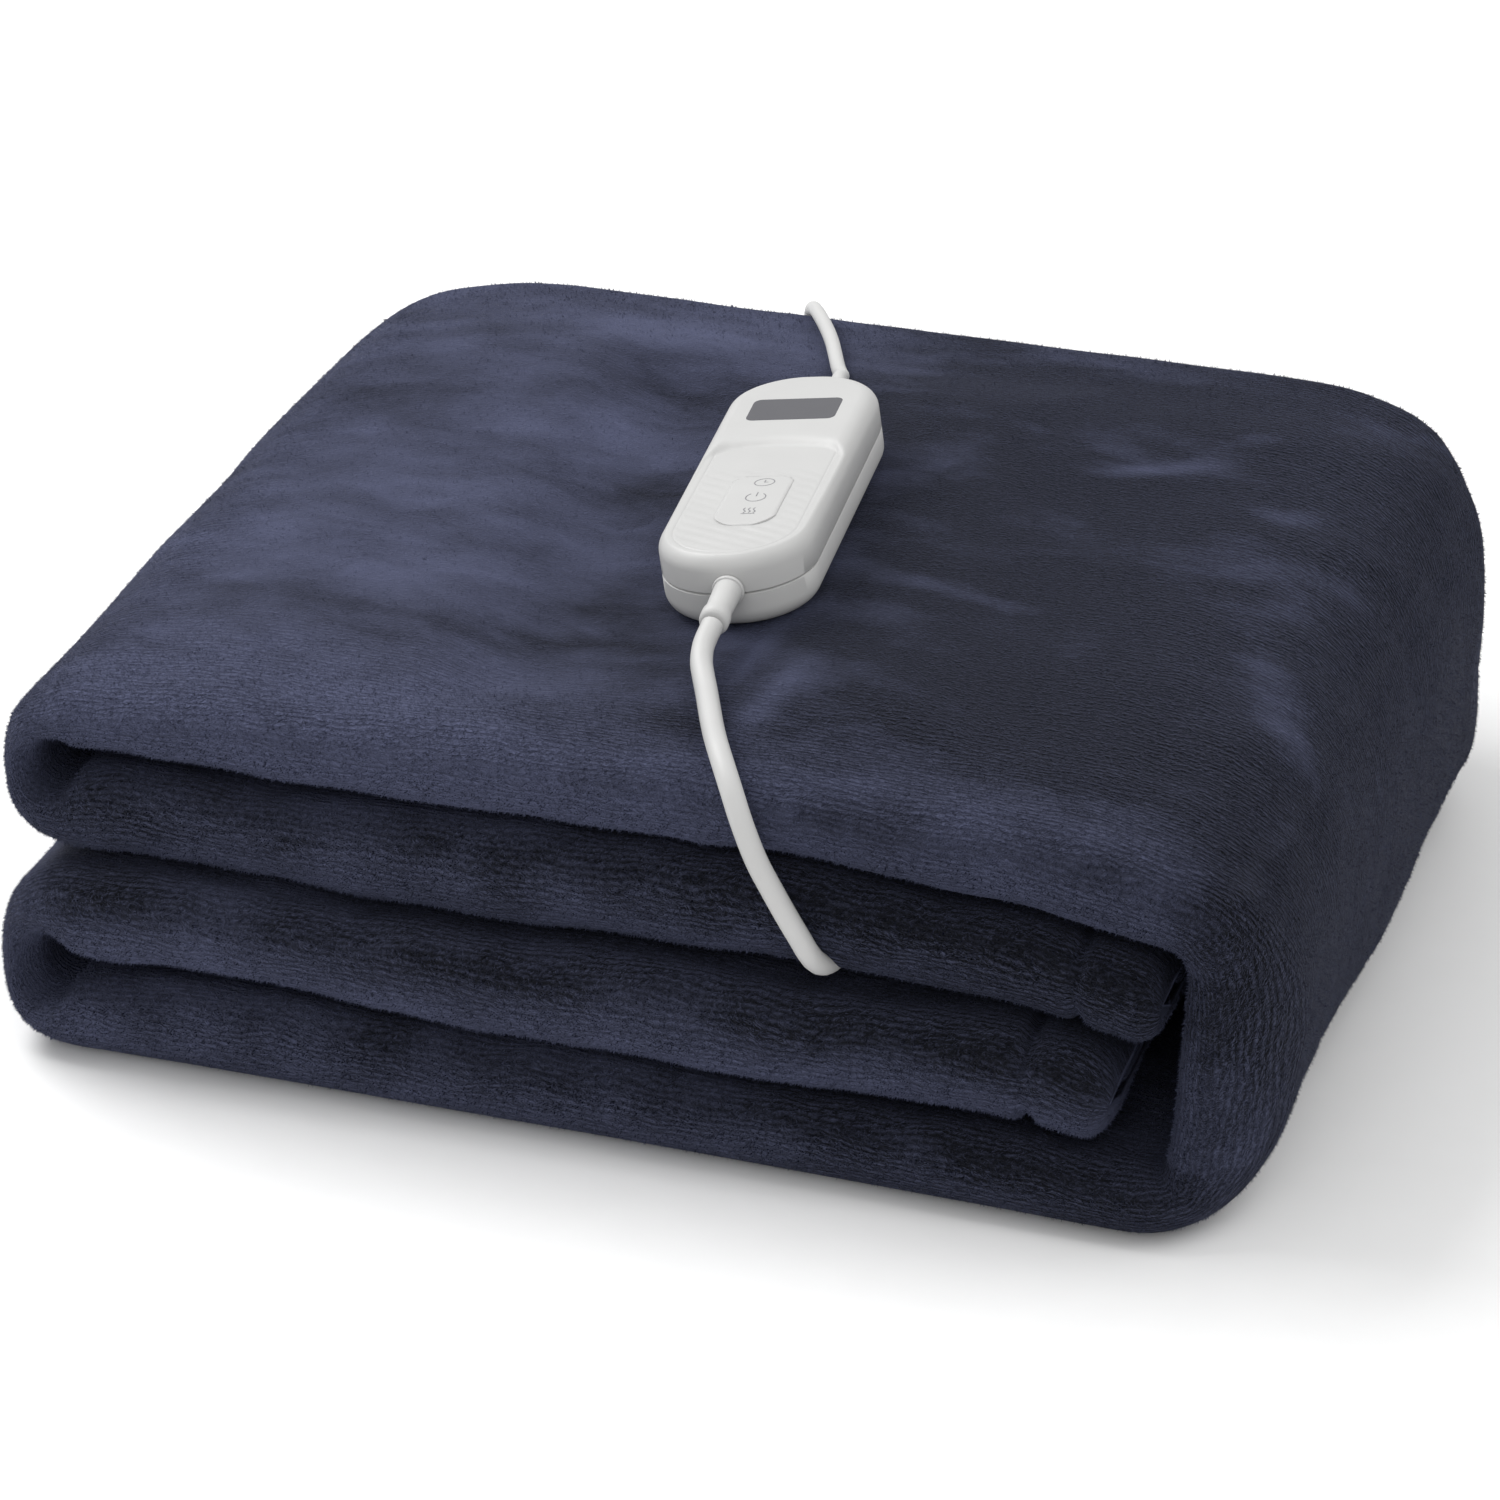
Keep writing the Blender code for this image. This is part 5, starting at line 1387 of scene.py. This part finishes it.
CONTROLLER_TURN = Euler((0.0, -CONTROLLER_TILT, CONTROLLER_YAW))
FINISHES = (
    (cover, case_plastic, "white_plastic", ("controller_cover",)),
    (base, case_plastic, "white_plastic", ("controller_base",)),
    (window, glass_grey, "display_grey", ("display_window",)),
    (pad, pad_rubber, "white_key_pad", ("key_pad",)),
    (lead_sleeve, sleeve_rubber, "white_relief", ("lead_relief",)),
    (mains_sleeve, sleeve_rubber, "white_relief", ("mains_relief",)),
    *((symbol, symbol_ink, "display_grey", ()) for symbol in symbols),
)
for piece, material, slot, nodes in FINISHES:
    piece.data.materials.clear()
    piece.data.materials.append(material)
    piece.location = CONTROLLER_PLACE
    piece.rotation_euler = CONTROLLER_TURN
    work_on(piece)
    bpy.ops.object.transform_apply(location=True, rotation=True, scale=True)
    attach(piece, "root")
    if nodes:
        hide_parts(*nodes)
print("controller pieces:", len(FINISHES))

# %% [markdown]
# ## The plug, and the tie round the coil
#
# The plug is a generic flat one with two round pins. It lies on the floor behind the pack. Its body
# starts as a small plate on end, extruded and scaled from ring to ring, and a subdivision surface
# softens it. A fabric tie holds the coil together.

# %% Make the plug
PLUG_BACK = Vector((-0.0330, 0.2640, 0.0071))
# Half width, half height and distance from the cord end.
PLUG_RINGS = (
    (0.0060, 0.0050, 0.0000), (0.0072, 0.0060, 0.0012), (0.0076, 0.0061, 0.0050),
    (0.0082, 0.0062, 0.0095), (0.0120, 0.0064, 0.0170), (0.0160, 0.0066, 0.0220),
    (0.0174, 0.0067, 0.0262), (0.0175, 0.0068, 0.0338), (0.0172, 0.0066, 0.0356),
    (0.0164, 0.0060, 0.0360),
)
PLUG_SLEEVE = tuple(
    ring for i in range(6) for ring in (
        (0.0030 + 0.00028 * i, 0.0034 * i), (0.0031 + 0.00028 * i, 0.0034 * i + 0.0022),
        (0.0028 + 0.00026 * i, 0.0034 * i + 0.0024), (0.0028 + 0.00026 * i, 0.0034 * i + 0.0032),
    )
) + ((0.0046, 0.0206), (0.0048, 0.0220))
PLUG_SLEEVE_BEHIND = 0.0223
PIN = (
    (0.0023, 0.0000), (0.0023, 0.0085), (0.0020, 0.0086), (0.0020, 0.0172), (0.0017, 0.0184),
    (0.0010, 0.0190),
)
PIN_START, PIN_ASIDE = 0.0358, 0.0095


def point_to_x(piece, place):
    """Turns a piece that was made along +Z to +X, and puts it in its place."""
    piece.data.transform(Matrix.Translation(place) @ Matrix.Rotation(math.radians(90), 4, "Y"))


plug = start_plate("plug_shell", 2 * PLUG_RINGS[0][1], 2 * PLUG_RINGS[0][0], 0.0040, 0.0040, 5)
for (wide, high, low), (next_wide, next_high, along) in zip(PLUG_RINGS, PLUG_RINGS[1:]):
    bpy.ops.mesh.extrude_region_move(TRANSFORM_OT_translate={"value": (0.0, 0.0, along - low)})
    scale = (next_high / high, next_wide / wide, 1.0)
    bpy.ops.transform.resize(value=scale, center_override=(0, 0, along))
face_outwards()
softener = plug.modifiers.new("soft", "SUBSURF")
softener.levels = softener.render_levels = 1
bpy.ops.object.modifier_apply(modifier=softener.name)
smooth_below(45)
point_to_x(plug, PLUG_BACK)
plug_sleeve = turned("plug_sleeve", PLUG_SLEEVE, 32)
point_to_x(plug_sleeve, PLUG_BACK - Vector((PLUG_SLEEVE_BEHIND, 0.0, 0.0)))
pins = []
for name, side in (("pin_left", 1), ("pin_right", -1)):
    pin = turned(name, PIN, 32)
    point_to_x(pin, PLUG_BACK + Vector((PIN_START, side * PIN_ASIDE, 0.0)))
    pins.append(pin)
print("plug:", len(plug.data.polygons), "faces, sleeve:", len(plug_sleeve.data.polygons))

# %% Finish the plug
PIN_RINGS = (6000.0, 200.0, 200.0)  # to a metre: close along X, the pin's length
PIN_DARK, PIN_BRIGHT, PIN_ROUGHNESS = (0.68, 0.66, 0.62), (0.78, 0.76, 0.72), (0.20, 0.34)


def pin_material():
    """Nickelled brass: bright metal with fine rings from turning."""
    material = new_material("pin_nickel")
    tree = material.node_tree
    place = add_node(tree, "TexCoord", "Object", {})
    spot = add_node(tree, "Mapping", "Vector", {"Vector": place, "Scale": PIN_RINGS})
    rings = noise_on(tree, spot, 1.0)
    set_inputs(tree, tree.nodes["Principled BSDF"], {
        "Base Color": two_tone(tree, rings, PIN_DARK, PIN_BRIGHT),
        "Roughness": spread(tree, rings, *PIN_ROUGHNESS), "Metallic": 1.0,
    })
    return material


nickel = pin_material()
for piece, material, slot, node in (
    (plug, sheath, "white_cord", "plug_body"),
    (plug_sleeve, sheath, "white_cord", "plug_relief"),
    (pins[0], nickel, "plug_metal", "plug_pin_left"),
    (pins[1], nickel, "plug_metal", "plug_pin_right"),
):
    piece.data.materials.append(material)
    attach(piece, "root")
    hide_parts(node)
print("plug pieces finished:", 2 + len(pins))

# %% Tie the coil
TIE_WIDTH, TIE_THICKNESS = 0.0090, 0.0006
TIE_OUTSIDE, TIE_CORNER = 0.0164, 0.0030
TIE_PLACE = COIL_CENTRE + Vector((-0.0285, 0.0, 0.00825))  # round the turns, at the coil's left
tie = start_plate("coil_tie", TIE_OUTSIDE, TIE_OUTSIDE, TIE_CORNER, TIE_CORNER, 6)
bpy.ops.mesh.delete(type="ONLY_FACE")
bpy.ops.mesh.select_all(action="SELECT")
bpy.ops.mesh.extrude_edges_move(TRANSFORM_OT_translate={"value": (0.0, 0.0, TIE_WIDTH)})
face_outwards()
thickness = tie.modifiers.new("thickness", "SOLIDIFY")
thickness.thickness = TIE_THICKNESS
thickness.offset = -1.0
bpy.ops.object.modifier_apply(modifier=thickness.name)
smooth_below(40)
on_end = Matrix.Translation(TIE_PLACE) @ Matrix.Rotation(math.radians(90), 4, "X")
tie.data.transform(on_end @ Matrix.Translation((0.0, 0.0, -TIE_WIDTH / 2)))
tie_cloth = moulded_material(
    "tie_cloth", (0.045, 0.047, 0.055), (0.085, 0.088, 0.100), 0.85, 1400.0, 0.00025)
tie.data.materials.append(tie_cloth)
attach(tie, "root")
print("tie:", [round(v * 1000, 1) for v in tie.dimensions], "mm")

# %% [markdown]
# ## The soft pieces
#
# The cords and the throw are soft.

print("soft pieces: two cords and the throw")

# %% [markdown]
# ## Floor and light
#
# The photograph has a white ground and broad soft light from the upper left, which leaves the right
# side darker. So there is a large pale floor, one big area light at the left, weaker ones in front
# and at the right, and a white surrounding. Big lights near the object make soft shadows.

# %% Build the studio
FLOOR_SIZE, WORLD_STRENGTH = 12.0, 0.66
LIGHT_AIM = Vector((0.0, 0.0, 0.05))
floor_white = moulded_material(
    "floor_white", (0.93, 0.93, 0.93), (0.95, 0.95, 0.95), 0.70, 300.0, 0.00005)
bpy.ops.mesh.primitive_plane_add(size=FLOOR_SIZE)
floor = bpy.context.object
floor.name = "floor"
floor.data.materials.append(floor_white)

# Where each light stands, its size in metres and its power in watts.
LIGHTS = (
    ("key", (-0.95, 0.20, 1.25), 0.9, 18.0), ("front_fill", (0.35, -2.1, 1.1), 1.6, 9.0),
    ("right_fill", (1.5, 0.3, 1.9), 1.8, 14.0),
)
for name, place, size, power in LIGHTS:
    bpy.ops.object.light_add(type="AREA", location=place)
    light = bpy.context.object
    light.name = name
    light.rotation_euler = (Vector(place) - LIGHT_AIM).to_track_quat("Z", "Y").to_euler()
    light.data.size = size
    light.data.energy = power

world = bpy.data.worlds.new("studio")
world.use_nodes = True
white = world.node_tree.nodes["Background"]
white.inputs["Color"].default_value = (1.0, 1.0, 1.0, 1.0)
white.inputs["Strength"].default_value = WORLD_STRENGTH
bpy.context.scene.world = world
bpy.context.scene.view_settings.view_transform = "Standard"
print("lights:", [row[0] for row in LIGHTS])
